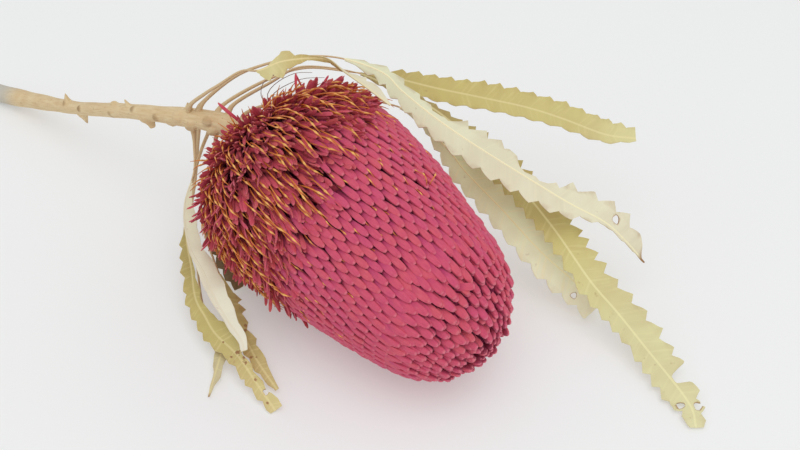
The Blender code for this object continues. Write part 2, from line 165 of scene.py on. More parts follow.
def draw_tube(bm: bmesh.types.BMesh, stations: list, sides: int) -> list:
    """Extrude a closed tube through its sections.

    Args:
        bm: the mesh to add to.
        stations: the sections' matrices in order.
        sides: the number of sides.

    Returns:
        The rings of new points, one list for each section.
    """
    drawn = bmesh.ops.create_circle(bm, cap_ends=True, radius=1.0, segments=sides, matrix=stations[0])
    ring = drawn["verts"]
    cap = ring[0].link_faces[0]
    rings = [ring]
    for before, after in zip(stations, stations[1:]):
        grown = bmesh.ops.extrude_face_region(bm, geom=[cap])["geom"]
        if len(rings) > 1:
            bmesh.ops.delete(bm, geom=[cap], context="FACES_ONLY")
        ring = [item for item in grown if isinstance(item, bmesh.types.BMVert)]
        cap = next(item for item in grown if isinstance(item, bmesh.types.BMFace))
        bmesh.ops.transform(bm, matrix=after @ before.inverted(), verts=ring)
        rings.append(ring)
    return rings


def finish_piece(name: str, bm: bmesh.types.BMesh, material: bpy.types.Material, node: str,
                 smooth_angle: float = 60.0) -> bpy.types.Object:
    """Turn a mesh drawn in millimetres into a piece that stands for a solid of the frame.

    Args:
        name: the piece's name.
        bm: its mesh, which is used up.
        material: its finish.
        node: the solid it replaces, which is hidden.
        smooth_angle: the largest angle in degrees that is still shaded smooth.

    Returns:
        The finished object.
    """
    bmesh.ops.scale(bm, vec=(MM, MM, MM), verts=bm.verts)
    bmesh.ops.recalc_face_normals(bm, faces=bm.faces)
    mesh = bpy.data.meshes.new(name)
    bm.to_mesh(mesh)
    bm.free()
    mesh.shade_smooth()
    mesh.set_sharp_from_angle(angle=math.radians(smooth_angle))
    mesh.materials.append(material)
    piece = bpy.data.objects.new(name, mesh)
    bpy.context.scene.collection.objects.link(piece)
    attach(piece, BODY)
    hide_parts(node)
    log.info("%s: %d faces", name, len(mesh.polygons))
    return piece


# Materials

Colour = tuple[float, float, float]


class Shader:
    """One material's nodes: adds them, joins them and ends in a Principled shader."""

    def __init__(self, name: str) -> None:
        """Start a material.

        Args:
            name: the material's name.
        """
        self.material = bpy.data.materials.new(name)
        self.material.use_nodes = True
        self.tree = self.material.node_tree
        self.skin = self.tree.nodes["Principled BSDF"]

    def add(self, kind: str, inputs: dict, **settings: object) -> bpy.types.Node:
        """Add a node.

        Args:
            kind: the node's type.
            inputs: a value, or a socket to link from, for each input's name or number.
            settings: the node's own properties.

        Returns:
            The node.
        """
        node = self.tree.nodes.new(kind)
        for name, value in settings.items():
            setattr(node, name, value)
        for name, value in inputs.items():
            if isinstance(value, bpy.types.NodeSocket):
                self.tree.links.new(value, node.inputs[name])
            else:
                node.inputs[name].default_value = value
        return node

    def mark(self, name: str) -> bpy.types.NodeSocket:
        """Read a value that the mesh holds at each point."""
        return self.add("ShaderNodeAttribute", {}, attribute_name=name).outputs["Fac"]

    def place(self) -> bpy.types.NodeSocket:
        """Read the object's own coordinates."""
        return self.add("ShaderNodeTexCoord", {}).outputs["Object"]

    def noise(self, scale: float, detail: float = 3.0, vector: object = None) -> bpy.types.NodeSocket:
        """Add a noise pattern.

        Args:
            scale: how fine it is, per metre on Object coordinates.
            detail: its finer layers.
            vector: where it is read, if not at Object coordinates.

        Returns:
            Its value.
        """
        source = vector if vector is not None else self.place()
        inputs = {"Vector": source, "Scale": scale, "Detail": detail}
        return self.add("ShaderNodeTexNoise", inputs).outputs["Fac"]

    def count(self, operation: str, a: object, b: object = 0.0) -> bpy.types.NodeSocket:
        """Work out a value from one or two others.

        Args:
            operation: the Math node's operation.
            a: the first value or socket.
            b: the second value or socket.

        Returns:
            The result.
        """
        return self.add("ShaderNodeMath", {0: a, 1: b}, operation=operation).outputs[0]

    def times(self, a: object, b: object) -> bpy.types.NodeSocket:
        """Multiply two values."""
        return self.count("MULTIPLY", a, b)

    def point(self, x: object, y: object = 0.0, z: object = 0.0) -> bpy.types.NodeSocket:
        """Join three values into a place to read a pattern at."""
        return self.add("ShaderNodeCombineXYZ", {0: x, 1: y, 2: z}).outputs[0]

    def spread(self, value: object, low: float, high: float) -> bpy.types.NodeSocket:
        """Stretch a range of a value smoothly to 0 and 1."""
        node = self.add("ShaderNodeMapRange", {"Value": value, "From Min": low, "From Max": high},
                        interpolation_type="SMOOTHSTEP")
        return node.outputs["Result"]

    def ramp(self, value: object, stops: tuple) -> bpy.types.NodeSocket:
        """Turn a value into a colour.

        Args:
            value: the value from 0 to 1.
            stops: pairs of a position and a colour.

        Returns:
            The colour.
        """
        node = self.add("ShaderNodeValToRGB", {"Fac": value})
        points = node.color_ramp.elements
        while len(points) < len(stops):
            points.new(0.5)
        for point, (position, colour) in zip(points, stops):
            point.position = position
            point.color = (*colour, 1.0)
        return node.outputs["Color"]

    def mix(self, share: object, a: object, b: object, blend: str = "MIX") -> bpy.types.NodeSocket:
        """Mix two colours.

        Args:
            share: how much of the second, from 0 to 1.
            a: the first colour or socket.
            b: the second colour or socket.
            blend: the way they are mixed.

        Returns:
            The mixed colour.
        """
        node = self.add("ShaderNodeMix", {}, data_type="RGBA", blend_type=blend)
        sockets = {0: share, 6: a, 7: b}
        for number, value in sockets.items():
            if isinstance(value, bpy.types.NodeSocket):
                self.tree.links.new(value, node.inputs[number])
            elif number == 0:
                node.inputs[number].default_value = value
            else:
                node.inputs[number].default_value = (*value, 1.0)
        return node.outputs[2]

    def relief(self, height: object, depth: float, strength: float = 1.0,
               over: object = None) -> bpy.types.NodeSocket:
        """Raise a fine relief.

        Args:
            height: the relief's height from 0 to 1.
            depth: how high 1 is, in millimetres.
            strength: how much of it shows.
            over: a relief to lay this one over.

        Returns:
            The bent normal.
        """
        inputs = {"Height": height, "Distance": depth * MM, "Strength": strength}
        if over is not None:
            inputs["Normal"] = over
        return self.add("ShaderNodeBump", inputs).outputs["Normal"]

    def dress(self, colour: object, roughness: object, normal: object = None,
              **fixed: object) -> bpy.types.Material:
        """Join the results to the shader.

        Args:
            colour: the base colour's socket.
            roughness: a value or socket.
            normal: the bent normal, if there is one.
            fixed: values for the shader's own inputs, with spaces as underscores.

        Returns:
            The finished material.
        """
        self.tree.links.new(colour, self.skin.inputs["Base Color"])
        if isinstance(roughness, bpy.types.NodeSocket):
            self.tree.links.new(roughness, self.skin.inputs["Roughness"])
        else:
            self.skin.inputs["Roughness"].default_value = roughness
        if normal is not None:
            self.tree.links.new(normal, self.skin.inputs["Normal"])
        for name, value in fixed.items():
            self.skin.inputs[name.replace("_", " ")].default_value = value
        return self.material


@dataclass(frozen=True)
class FeltFinish:
    """Dyed floret felt with a paler tip; its darker root and grooves are painted shade."""
    name: str
    # root is a painted shade colour for deep among the florets, also laid on their lower flanks.
    root: Colour
    middle: Colour
    body: Colour
    tip: Colour
    warm: Colour
    cool: Colour
    body_at: float = 0.72
    # How much the lower flanks are darkened towards the root colour, as painted shade in the grooves.
    painted_groove_shade: float = 0.75
    streaks: float = 0.3

    def material(self) -> bpy.types.Material:
        """Make the material."""
        shade = Shader(self.name)
        along = shade.mark("along")
        tint = shade.mark("tint")
        proud = shade.mark("proud")
        flank = shade.mark("flank")
        fibre_place = shade.point(shade.times(flank, 2.2), shade.times(along, 3.0),
                                  shade.times(tint, 37.0))
        fibre = shade.noise(1.7, 3.0, fibre_place)
        mottle = shade.noise(900.0, 3.0)
        place = shade.count("ADD", along, shade.times(shade.count("SUBTRACT", mottle, 0.5), 0.06))
        # Painted shade: the colour darkens towards the root, which sits deep among the other florets.
        colour = shade.ramp(place, ((0.0, self.root), (0.42, self.middle), (self.body_at, self.body),
                                    (0.94, self.body), (1.0, self.tip)))
        colour = shade.mix(shade.spread(tint, 0.6, 1.0), colour, shade.mix(0.3, colour, self.warm))
        colour = shade.mix(shade.spread(tint, 0.35, 0.0), colour, shade.mix(0.2, colour, self.cool))
        colour = shade.mix(shade.times(shade.spread(fibre, 0.5, 0.3), self.streaks), colour, self.middle)
        colour = shade.mix(shade.times(shade.spread(fibre, 0.55, 0.75), 0.3), colour, self.tip)
        # Painted shade: the lower flanks darken towards the root colour, standing for the shade in the
        # grooves between florets.
        colour = shade.mix(shade.times(shade.spread(proud, 0.35, -0.4), self.painted_groove_shade), colour, self.root)
        patches = shade.noise(130.0, 2.0)
        colour = shade.mix(shade.times(shade.spread(patches, 0.5, 0.75), 0.2), colour, self.warm)
        normal = shade.relief(fibre, 0.35, 0.5, shade.relief(shade.noise(2600.0, 3.0), 0.22, 0.55))
        return shade.dress(colour, 0.85, normal, Sheen_Weight=0.2, Sheen_Roughness=0.5,
                           Sheen_Tint=(1.0, 0.6, 0.7, 1.0), Specular_IOR_Level=0.2)


@dataclass(frozen=True)
class StyleFinish:
    """The wiry styles: orange, with a golden swelling and a dark thin end."""
    name: str = "style_wire"
    root: Colour = (0.3, 0.05, 0.02)
    wire: Colour = (0.72, 0.22, 0.035)
    gold: Colour = (0.93, 0.5, 0.13)
    end: Colour = (0.6, 0.18, 0.04)

    def material(self) -> bpy.types.Material:
        """Make the material."""
        shade = Shader(self.name)
        along = shade.mark("along")
        tint = shade.mark("tint")
        colour = shade.ramp(along, ((0.0, self.root), (0.3, self.wire), (0.6, self.wire),
                                    (0.7, self.gold), (0.77, self.gold), (0.86, self.wire),
                                    (1.0, self.end)))
        colour = shade.mix(shade.times(tint, 0.4), colour, self.end)
        grain = shade.noise(3000.0, 2.0)
        return shade.dress(colour, 0.42, shade.relief(grain, 0.08, 0.4), Specular_IOR_Level=0.5)


@dataclass(frozen=True)
class CoreFinish:
    """The woody middle between the florets; its near-black is partly painted shade for the gaps."""
    name: str = "head_middle"
    dark: Colour = (0.07, 0.007, 0.02)
    light: Colour = (0.28, 0.03, 0.085)

    def material(self) -> bpy.types.Material:
        """Make the material."""
        shade = Shader(self.name)
        fibre = shade.noise(1400.0, 5.0)
        # Near black: partly the wood's own colour, partly painted shade deep between the florets.
        colour = shade.ramp(fibre, ((0.35, self.dark), (0.7, self.light)))
        return shade.dress(colour, 0.95, shade.relief(fibre, 0.8), Specular_IOR_Level=0.1)


@dataclass(frozen=True)
class BarkFinish:
    """Dry pale bark: fine grain along the stem, with grey and brown patches and scars."""
    name: str = "stem_bark"
    pale: Colour = (0.76, 0.61, 0.37)
    tan: Colour = (0.65, 0.46, 0.25)
    brown: Colour = (0.3, 0.17, 0.07)
    grey: Colour = (0.55, 0.52, 0.45)

    def material(self) -> bpy.types.Material:
        """Make the material."""
        shade = Shader(self.name)
        along = shade.mark("along")
        around = shade.mark("around")
        grain_place = shade.point(shade.times(along, 0.12), around, shade.times(along, 0.03))
        grain = shade.noise(1.6, 6.0, grain_place)
        patches = shade.noise(110.0, 3.0)
        specks = shade.noise(900.0, 2.0)
        colour = shade.ramp(grain, ((0.3, self.tan), (0.62, self.pale)))
        colour = shade.mix(shade.times(shade.spread(patches, 0.5, 0.7), 0.5), colour, self.tan)
        colour = shade.mix(shade.times(shade.spread(specks, 0.66, 0.78), 0.45), colour, self.brown)
        colour = shade.mix(shade.spread(along, 26.0, 12.0), colour, self.grey)
        scar = shade.mark("scar")
        colour = shade.mix(shade.times(scar, 0.75), colour, self.brown)
        normal = shade.relief(grain, 0.35, 0.7, shade.relief(shade.noise(1500.0, 3.0), 0.15, 0.6))
        return shade.dress(colour, 0.72, normal, Specular_IOR_Level=0.3)


@dataclass(frozen=True)
class Spot:
    """A brown mark on a leaf, at a distance along its midrib and to its right."""
    along: float
    across: float
    radius: float


@dataclass(frozen=True)
class LeafFinish:
    """A dried leaf: its two faces, its midrib, its fine veins and its brown marks.

    upper and under list pairs of a share of the leaf's length and the face's colour there.
    rim is how brown the edges are, and tip the share of the length after which it is brown.
    """
    name: str
    upper: tuple = ((0.0, (0.62, 0.54, 0.24)), (1.0, (0.7, 0.62, 0.3)))
    under: tuple = ((0.0, (0.74, 0.68, 0.48)), (1.0, (0.8, 0.74, 0.55)))
    rib: Colour = (0.86, 0.76, 0.4)
    stalk: Colour = (0.66, 0.49, 0.28)
    edge: Colour = (0.36, 0.19, 0.08)
    veins: float = 0.12
    rim: float = 0.12
    tip: float = 1.0
    spots: tuple = ()

    def material(self, length: float) -> bpy.types.Material:
        """Make the material.

        Args:
            length: the leaf's length in millimetres, with its stalk.

        Returns:
            The finished material.
        """
        shade = Shader(self.name)
        along = shade.mark("along")
        across = shade.mark("across")
        rib = shade.mark("rib")
        off = shade.count("ABSOLUTE", across)
        share = shade.count("DIVIDE", along, length)
        slope = shade.count("SUBTRACT", along, shade.times(off, 0.55))
        vein_place = shade.point(slope, shade.times(off, 0.1), shade.times(across, 0.02))
        veins = shade.noise(0.95, 2.0, vein_place)
        bands = shade.noise(0.16, 1.0, vein_place)
        patches = shade.noise(70.0, 3.0)
        upper, under = shade.ramp(share, self.upper), shade.ramp(share, self.under)
        colour = shade.mix(shade.mark("under"), upper, under)
        dull = shade.mix(0.16, colour, self.edge)
        colour = shade.mix(shade.spread(patches, 0.35, 0.75), colour, dull)
        colour = shade.mix(shade.times(shade.spread(bands, 0.45, 0.7), 0.5), colour, dull)
        line = shade.times(shade.spread(veins, 0.5, 0.7), self.veins * 2.5)
        colour = shade.mix(line, colour, self.rib)
        fleck = shade.times(shade.spread(shade.noise(420.0, 2.0), 0.68, 0.8), 0.35)
        colour = shade.mix(fleck, colour, self.edge)
        colour = shade.mix(shade.times(shade.spread(off, 0.5, 0.15), 0.5), colour, self.rib)
        colour = shade.mix(rib, colour, self.rib)
        colour = shade.mix(shade.times(shade.spread(shade.mark("blade"), 0.1, -0.1), rib), colour,
                           self.stalk)
        ragged = shade.spread(shade.noise(190.0, 3.0), 0.42, 0.62)
        dry = shade.times(shade.times(shade.spread(shade.mark("rim"), 0.82, 1.0), ragged),
                          self.rim)
        dry = shade.count("MAXIMUM", dry, shade.spread(share, self.tip, self.tip + 0.02))
        colour = shade.mix(dry, colour, self.edge)
        ring = shade.times(shade.spread(shade.mark("rim"), 1.35, 2.0), 0.85)
        colour = shade.mix(ring, colour, self.edge)
        place = shade.point(along, across)
        for spot in self.spots:
            gap = shade.add("ShaderNodeVectorMath", {0: place, 1: (spot.along, spot.across, 0.0)},
                            operation="DISTANCE").outputs["Value"]
            worn = shade.count("ADD", gap, shade.times(shade.noise(900.0, 3.0), spot.radius * 4.0))
            share_brown = shade.spread(worn, spot.radius * 3.0, spot.radius * 2.3)
            colour = shade.mix(share_brown, colour, self.edge)
        normal = shade.relief(veins, 0.1, 0.4, shade.relief(shade.noise(1300.0, 3.0), 0.08, 0.5))
        return shade.dress(colour, 0.6, normal, Specular_IOR_Level=0.3)


# The flower head

class HeadForm:
    """The surface over the florets' ends: a profile turned round the head's axis."""
    base = Vector((-28.0, 32.0, 39.2))
    turn = math.radians(49.6)
    droop = math.radians(6.8)
    flatter = 0.06
    flat_turn = math.radians(-195.0)
    hollow_turn = math.radians(-90.0)
    hollow_reach = 50.0
    hollow_depth = 0.25
    hollow_shift = 4.0
    profile = (
        (3, 6, 0), (1, 13, 0), (1, 19, 0), (4, 24, 0), (11, 31, 0), (23, 35.6, 0), (38, 36, 0),
        (57, 34, 0), (74, 30.6, 0), (91, 26.6, 0), (103, 21.5, 0), (111, 13.5, 0), (114, 5, 0),
        (114.5, 1, 0),
    )

    def __init__(self) -> None:
        """Work out the axes and the area before each point of the profile."""
        self.outline = Route(self.profile)
        flat = math.cos(self.droop)
        ahead, aside = math.cos(self.turn) * flat, -math.sin(self.turn) * flat
        self.axis = Vector((ahead, aside, -math.sin(self.droop)))
        self.side = Vector((math.sin(self.turn), math.cos(self.turn), 0.0))
        self.up = self.side.cross(self.axis)
        self.area = [0.0]
        for a, b in zip(self.outline.points, self.outline.points[1:]):
            self.area.append(self.area[-1] + (a.y + b.y) * (b - a).length)

    def reach_at(self, share: float) -> float:
        """Find how far along the profile a share of the surface lies before."""
        wanted = min(max(share, 0.0), 1.0) * self.area[-1]
        i = min(max(bisect.bisect_left(self.area, wanted) - 1, 0), len(self.area) - 2)
        part = (wanted - self.area[i]) / (self.area[i + 1] - self.area[i])
        return self.outline.reach[i] + (self.outline.reach[i + 1] - self.outline.reach[i]) * part

    def hollow(self, reach: float, turn: float) -> float:
        """Tell how much the base falls away on its upper side, from 0 to 1."""
        facing = max(0.0, math.cos(turn - self.hollow_turn)) ** 2
        return facing * (1.0 - rise(reach / self.hollow_reach))

    def flat_side(self, turn: float) -> float:
        """Tell how much a turn looks to the side that is a little flatter, from 0 to 1."""
        return max(0.0, math.cos(turn - self.flat_turn)) ** 2

    def place(self, reach: float, turn: float, depth: float) -> tuple[Vector, Vector, Vector]:
        """Find a place under the surface.

        Args:
            reach: how far along the profile.
            turn: the angle round the axis.
            depth: how deep under the surface.

        Returns:
            The point, the direction towards the tip, and the direction outwards.
        """
        point, direction = self.outline.at(reach)
        out = math.cos(turn) * self.side + math.sin(turn) * self.up
        onward = direction.x * self.axis + direction.y * out
        outward = direction.x * out - direction.y * self.axis
        hollow = self.hollow(reach, turn)
        girth = 1 - self.flatter * self.flat_side(turn) - self.hollow_depth * hollow
        spot = self.base + (point.x + self.hollow_shift * hollow) * self.axis + point.y * girth * out
        return spot - depth * outward, onward, outward


class Stamp:
    """A small shape that is pressed many times, with marks for its colours."""

    def __init__(self, name: str, stations: list, sides: int, shares: list) -> None:
        """Draw the shape once.

        Args:
            name: the shape's name.
            stations: its sections, from its root to its tip.
            sides: its number of sides.
            shares: how far along each section is, from 0 to 1.
        """
        bm = bmesh.new()
        along = bm.verts.layers.float.new("along")
        proud = bm.verts.layers.float.new("proud")
        flank = bm.verts.layers.float.new("flank")
        bm.verts.layers.float.new("tint")
        for share, station, ring in zip(shares, stations, draw_tube(bm, stations, sides)):
            inward = station.inverted()
            for vert in ring:
                spot = inward @ vert.co
                vert[along] = share
                vert[flank] = spot.x
                vert[proud] = spot.y
        bmesh.ops.recalc_face_normals(bm, faces=bm.faces)
        self.mesh = bpy.data.meshes.new(name)
        bm.to_mesh(self.mesh)
        bm.free()

    def press(self, bm: bmesh.types.BMesh, place: Matrix, tint: float) -> None:
        """Add one copy.

        Args:
            bm: the mesh to add to.
            place: where it goes.
            tint: its own shade, from 0 to 1.
        """
        copy = self.mesh.copy()
        copy.attributes["tint"].data.foreach_set("value", [tint] * len(copy.vertices))
        copy.transform(place)
        bm.from_mesh(copy)
        bpy.data.meshes.remove(copy)


def stand(root: Vector, ahead: Vector, up: Vector, size: Vector) -> Matrix:
    """Place a stamp.

    Args:
        root: where its root goes.
        ahead: the way it points.
        up: the way its upper side looks, about.
        size: its scale along itself, to its side and upwards.

    Returns:
        The matrix.
    """
    ahead = ahead.normalized()
    side = up.cross(ahead).normalized()
    top = ahead.cross(side)
    axes = Matrix((ahead * size.x, side * size.y, top * size.z)).transposed()
    return Matrix.Translation(root) @ axes.to_4x4()


@dataclass
class FlowerHead:
    """The head with its closed and open florets and their styles.

    Attributes are the number of florets, the divergence from one to the next, the share of
    them that are open, and the sizes of one bud, one petal strip and one style.
    """
    node: str = "flower_head"
    seed: int = 11
    count: int = 1775
    divergence: float = -math.tau * 11 / 101
    dome_divergence: float = -math.tau * 0.381966
    dome_share: float = 0.89
    phase: float = 0.3
    open_share: float = 0.415
    open_lean: float = 0.16
    open_turn: float = math.radians(-165.0)
    tight_turn: float = math.radians(-20.0)
    loose_share: float = 0.2
    bud_length: float = 12.0
    bud_width: float = 2.5
    bud_height: float = 2.1
    bud_sag: float = 3.2
    strip_length: float = 15.0
    strip_width: float = 1.6
    strip_sizes: tuple = ((0.78, 1.02), (0.75, 1.15), (0.8, 1.2))
    open_depth: float = 6.0
    style_length: float = 16.0
    style_radius: float = 0.21
    style_chance: float = 0.78
    style_late: float = 0.1
    sliver_turn: float = 0.035
    core_rings: int = 40
    core_sides: int = 48
    core_deep: float = 8.0
    core_rise: float = 5.4
    dome_sink: float = 1.6
    rest_height: float = 0.02
    clefts: tuple = (
        (0.956, -68, 1.2), (0.965, -65, 1.7), (0.974, -62, 1.5), (0.979, -80, 1.4), (0.986, -67, 2.0),
        (0.991, -50, 1.5), (0.991, -101, 1.5),
    )

    def __post_init__(self) -> None:
        """Set out the form, the random draw and the stamps."""
        self.form = HeadForm()
        self.draw = random.Random(self.seed)
        self.bud_stamps = [self.bud_stamp(k) for k in range(4)]
        self.strip_stamps = [self.strip_stamp(k) for k in range(7)]
        self.style_stamps = [self.style_stamp(k) for k in range(6)]

    def bud_stamp(self, kind: int) -> Stamp:
        """Draw a closed floret: a narrow root, a club-shaped body and a blunt tip."""
        shares = [0.0, 0.36, 0.5, 0.63, 0.76, 0.87, 0.95, 1.0]
        widths = [0.5, 0.8, 0.93, 1.0, 1.02, 0.93, 0.74, 0.4]
        heights = [0.6, 0.76, 0.9, 1.0, 1.0, 0.92, 0.76, 0.45]
        bend = self.draw.uniform(-0.5, 0.5)
        stations = []
        for share, width, height in zip(shares, widths, heights):
            sink = self.bud_sag * (1 - share) ** 2.0
            middle = Vector(((share - 1) * self.bud_length, bend * (1 - share) ** 2, -sink))
            width = width * (1 + 0.05 * math.sin(3.1 * kind + 7 * share))
            stations.append(section(middle, Vector((0, 1, 0)), UP, width * self.bud_width / 2,
                                    height * self.bud_height / 2))
        return Stamp(f"bud_{kind}", stations, 6, shares)

    def strip_stamp(self, kind: int) -> Stamp:
        """Draw a petal strip of an open floret, which arches, curls and twists."""
        curl = (-0.1, 0.1, 0.25, 0.4, 0.6, 0.9, -0.3)[kind]
        twist = self.draw.uniform(-0.9, 0.9)
        shares = [0.0, 0.22, 0.44, 0.64, 0.82, 0.94, 1.0]
        widths = [0.5, 0.66, 0.82, 0.96, 1.0, 0.8, 0.35]
        point = Vector((0, 0, 0))
        stations = []
        for i, (share, width) in enumerate(zip(shares, widths)):
            angle = -curl * share ** 1.5
            wander = 0.12 * math.sin(2.5 * kind + 4 * share)
            ahead = Vector((math.cos(angle), wander, math.sin(angle))).normalized()
            if i:
                point = point + ahead * (share - shares[i - 1]) * self.strip_length
            roll = twist * share
            across = Vector((0, math.cos(roll), math.sin(roll)))
            top = ahead.cross(across).normalized()
            across = top.cross(ahead)
            stations.append(section(point, across, top, width * self.strip_width / 2, width * 0.36))
        return Stamp(f"strip_{kind}", stations, 4, shares)

    def style_stamp(self, kind: int) -> Stamp:
        """Draw a wiry style with its swelling near the outer third and its thin end."""
        shares = [0.0, 0.2, 0.4, 0.56, 0.66, 0.71, 0.76, 0.84, 1.0]
        radii = [1.0, 1.0, 1.0, 1.0, 1.15, 1.7, 1.3, 0.8, 0.35]
        arch = self.draw.uniform(0.35, 0.95)
        kink = self.draw.uniform(-0.15, 0.15)
        point = Vector((0, 0, 0))
        stations = []
        for i, (share, radius) in enumerate(zip(shares, radii)):
            angle = arch * (0.55 - share) + (kink if share > 0.7 else 0.0)
            wander = 0.1 * math.sin(2.2 * kind + 4 * share)
            ahead = Vector((math.cos(angle), wander, math.sin(angle))).normalized()
            if i:
                point = point + ahead * (share - shares[i - 1]) * self.style_length
            across = UP.cross(ahead).normalized()
            stations.append(section(point, across, ahead.cross(across), radius * self.style_radius,
                                    radius * self.style_radius))
        return Stamp(f"style_{kind}", stations, 5, shares)

    def openness(self, share: float, turn: float) -> float:
        """Tell how open a floret is, from 0 where all are closed to 1 where all are open."""
        limit = self.open_share + self.open_lean * math.cos(turn - self.open_turn)
        limit += 0.012 * math.sin(5 * turn) + 0.01 * math.sin(9 * turn + 1)
        limit -= 0.1 * max(0.0, math.cos(turn - self.tight_turn)) ** 4
        return 1.0 - rise((share - limit) / self.loose_share + 0.5)

    def places(self) -> list:
        """List every floret's share of the surface and its turn round the axis."""
        made = []
        for i in range(self.count):
            share = (i + 0.5) / self.count
            step = self.divergence if share < self.dome_share else self.dome_divergence
            made.append((share, self.phase + i * step))
        return made

    def in_cleft(self, spot: Vector) -> bool:
        """Tell whether a floret's end lies in one of the dark clefts at the head's tip."""
        for share, turn, radius in self.clefts:
            middle, _, _ = self.form.place(self.form.reach_at(share), math.radians(turn), 0.0)
            if (spot - middle).length < radius:
                return True
        return False

    def press_down(self, bm: bmesh.types.BMesh) -> None:
        """Flatten what would reach under the surface that the head lies on."""
        for vert in bm.verts:
            vert.co.z = max(vert.co.z, self.rest_height)

    def build_core(self) -> None:
        """Draw the dark middle that the florets stand out of, on the head's own lines."""
        form = self.form
        shares = [(i + 0.5) / self.core_rings for i in range(self.core_rings)]
        reaches = [share * form.outline.length for share in shares]
        middles = [form.base + form.outline.at(reach)[0].x * form.axis for reach in reaches]
        stations = [section(middle, form.side, form.up, 1.0, 1.0) for middle in middles]
        bm = bmesh.new()
        rings = draw_tube(bm, stations, self.core_sides)
        for share, reach, middle, ring in zip(shares, reaches, middles, rings):
            depth = self.core_deep - self.core_rise * rise((share - 0.4) / 0.22)
            depth += self.dome_sink * rise((share - 0.88) / 0.08)
            for vert in ring:
                out = vert.co - middle
                turn = math.atan2(out.dot(form.up), out.dot(form.side))
                vert.co, _, _ = form.place(reach, turn, depth)
        self.press_down(bm)
        finish_piece("head_middle", bm, CoreFinish().material(), self.node)

    def build_buds(self) -> None:
        """Press the closed florets over the front of the head."""
        draw = self.draw
        bm = bmesh.new()
        for share, turn in self.places():
            openness = self.openness(share, turn)
            if draw.random() < openness * 1.1:
                continue
            loose = rise(openness * 2.0)
            end = rise((share - 0.9) / 0.08)
            reach = self.form.reach_at(share)
            lift = draw.uniform(-0.2, 0.3) - 0.7 * loose * draw.random()
            lift += 0.6 * end * draw.uniform(-1.0, 1.0)
            tip, onward, outward = self.form.place(reach, turn + draw.uniform(-0.01, 0.01), 0.9 - lift)
            if self.in_cleft(tip):
                continue
            across = onward.cross(outward)
            ahead = onward + across * draw.uniform(-0.06, 0.06)
            ahead += outward * (0.05 + loose * draw.uniform(0.0, 0.3))
            ahead = ahead.normalized().lerp(self.form.axis + 0.5 * onward + 0.25 * outward, 0.75 * end)
            wide = (1.0 + 0.14 * end) * draw.uniform(0.93, 1.05) * (1 - 0.15 * loose)
            size = Vector((1.0 + 0.15 * loose, wide, wide * draw.uniform(0.95, 1.05)))
            draw.choice(self.bud_stamps).press(bm, stand(tip, ahead, outward, size), draw.random())
        self.fill_dome(bm)
        tip, _, outward = self.form.place(self.form.reach_at(0.94), math.radians(-92.0), -1.0)
        crosswise = Vector((1.0, 0.1, -0.12)) + outward * 0.3
        self.bud_stamps[0].press(bm, stand(tip, crosswise, outward, Vector((0.72, 1.05, 1.05))), 0.6)
        self.press_down(bm)
        # The bud felt's dark root colour and groove darkening are painted shade for the deep gaps between
        # the buds.
        finish = FeltFinish(name="bud_felt", root=(0.24, 0.016, 0.06), middle=(0.48, 0.05, 0.145),
                            body=(0.65, 0.093, 0.163), tip=(0.76, 0.2, 0.26), warm=(0.72, 0.14, 0.13),
                            cool=(0.56, 0.07, 0.24))
        finish_piece("head_buds", bm, finish.material(), self.node)

    def fill_dome(self, bm: bmesh.types.BMesh) -> None:
        """Press lower buds between the others over the front end, where they stand on end."""
        draw = self.draw
        half_step = 0.5 * self.dome_divergence + math.pi / 2
        for share, turn in self.places():
            if share < self.dome_share - 0.03:
                continue
            reach = self.form.reach_at(share + draw.uniform(-0.002, 0.002))
            depth = 1.3 + draw.uniform(0.0, 0.7)
            tip, onward, outward = self.form.place(reach, turn + half_step, depth)
            if self.in_cleft(tip):
                continue
            end = rise((share - 0.9) / 0.08)
            ahead = onward.lerp(self.form.axis + 0.5 * onward + 0.25 * outward, 0.75 * end)
            size = Vector((1.0, 1.1, 1.1)) * draw.uniform(0.9, 1.1)
            draw.choice(self.bud_stamps).press(bm, stand(tip, ahead, outward, size), draw.random())

    def build_strips(self) -> None:
        """Press the open florets' petal strips round the base."""
        draw = self.draw
        bm = bmesh.new()
        for share, turn in self.places():
            openness = self.openness(share, turn)
            if draw.random() > openness * 1.3:
                continue
            reach = self.form.reach_at(share)
            aim = 0.75 + 1.25 * rise(share / 0.16) + draw.uniform(-0.4, 0.4)
            lean = draw.gauss(0.0, 0.14)
            sunk = self.open_depth + 2.5 * (1.0 - rise(share / 0.16))
            short = 0.72 + 0.28 * rise(share / 0.16)
            for _ in range(4 if draw.random() < 0.45 else 3):
                back = reach - 7.0 * rise(share / 0.25)
                root, onward, outward = self.form.place(back, turn + draw.uniform(-0.04, 0.04),
                                                        sunk + draw.uniform(-0.8, 0.8))
                across = onward.cross(outward)
                ahead = outward + onward * (aim + draw.uniform(-0.12, 0.12))
                ahead += across * (lean + draw.gauss(0.0, 0.13))
                top = outward * 0.7 - onward * 0.4 + across * draw.gauss(0.0, 0.6)
                size = Vector([draw.uniform(*limits) for limits in self.strip_sizes])
                size.x *= short
                draw.choice(self.strip_stamps).press(bm, stand(root, ahead, top, size), draw.random())
        self.add_strays(bm)
        self.press_down(bm)
        # The near-black root colour and the groove darkening are painted shade for the deep gaps between
        # the open strips.
        finish = FeltFinish(name="petal_felt", root=(0.035, 0.004, 0.008), middle=(0.5, 0.052, 0.085),
                            body=(0.67, 0.092, 0.135), tip=(0.74, 0.19, 0.19), warm=(0.66, 0.14, 0.07),
                            cool=(0.52, 0.06, 0.17), body_at=0.6, painted_groove_shade=0.25)
        finish_piece("head_open_petals", bm, finish.material(), self.node)

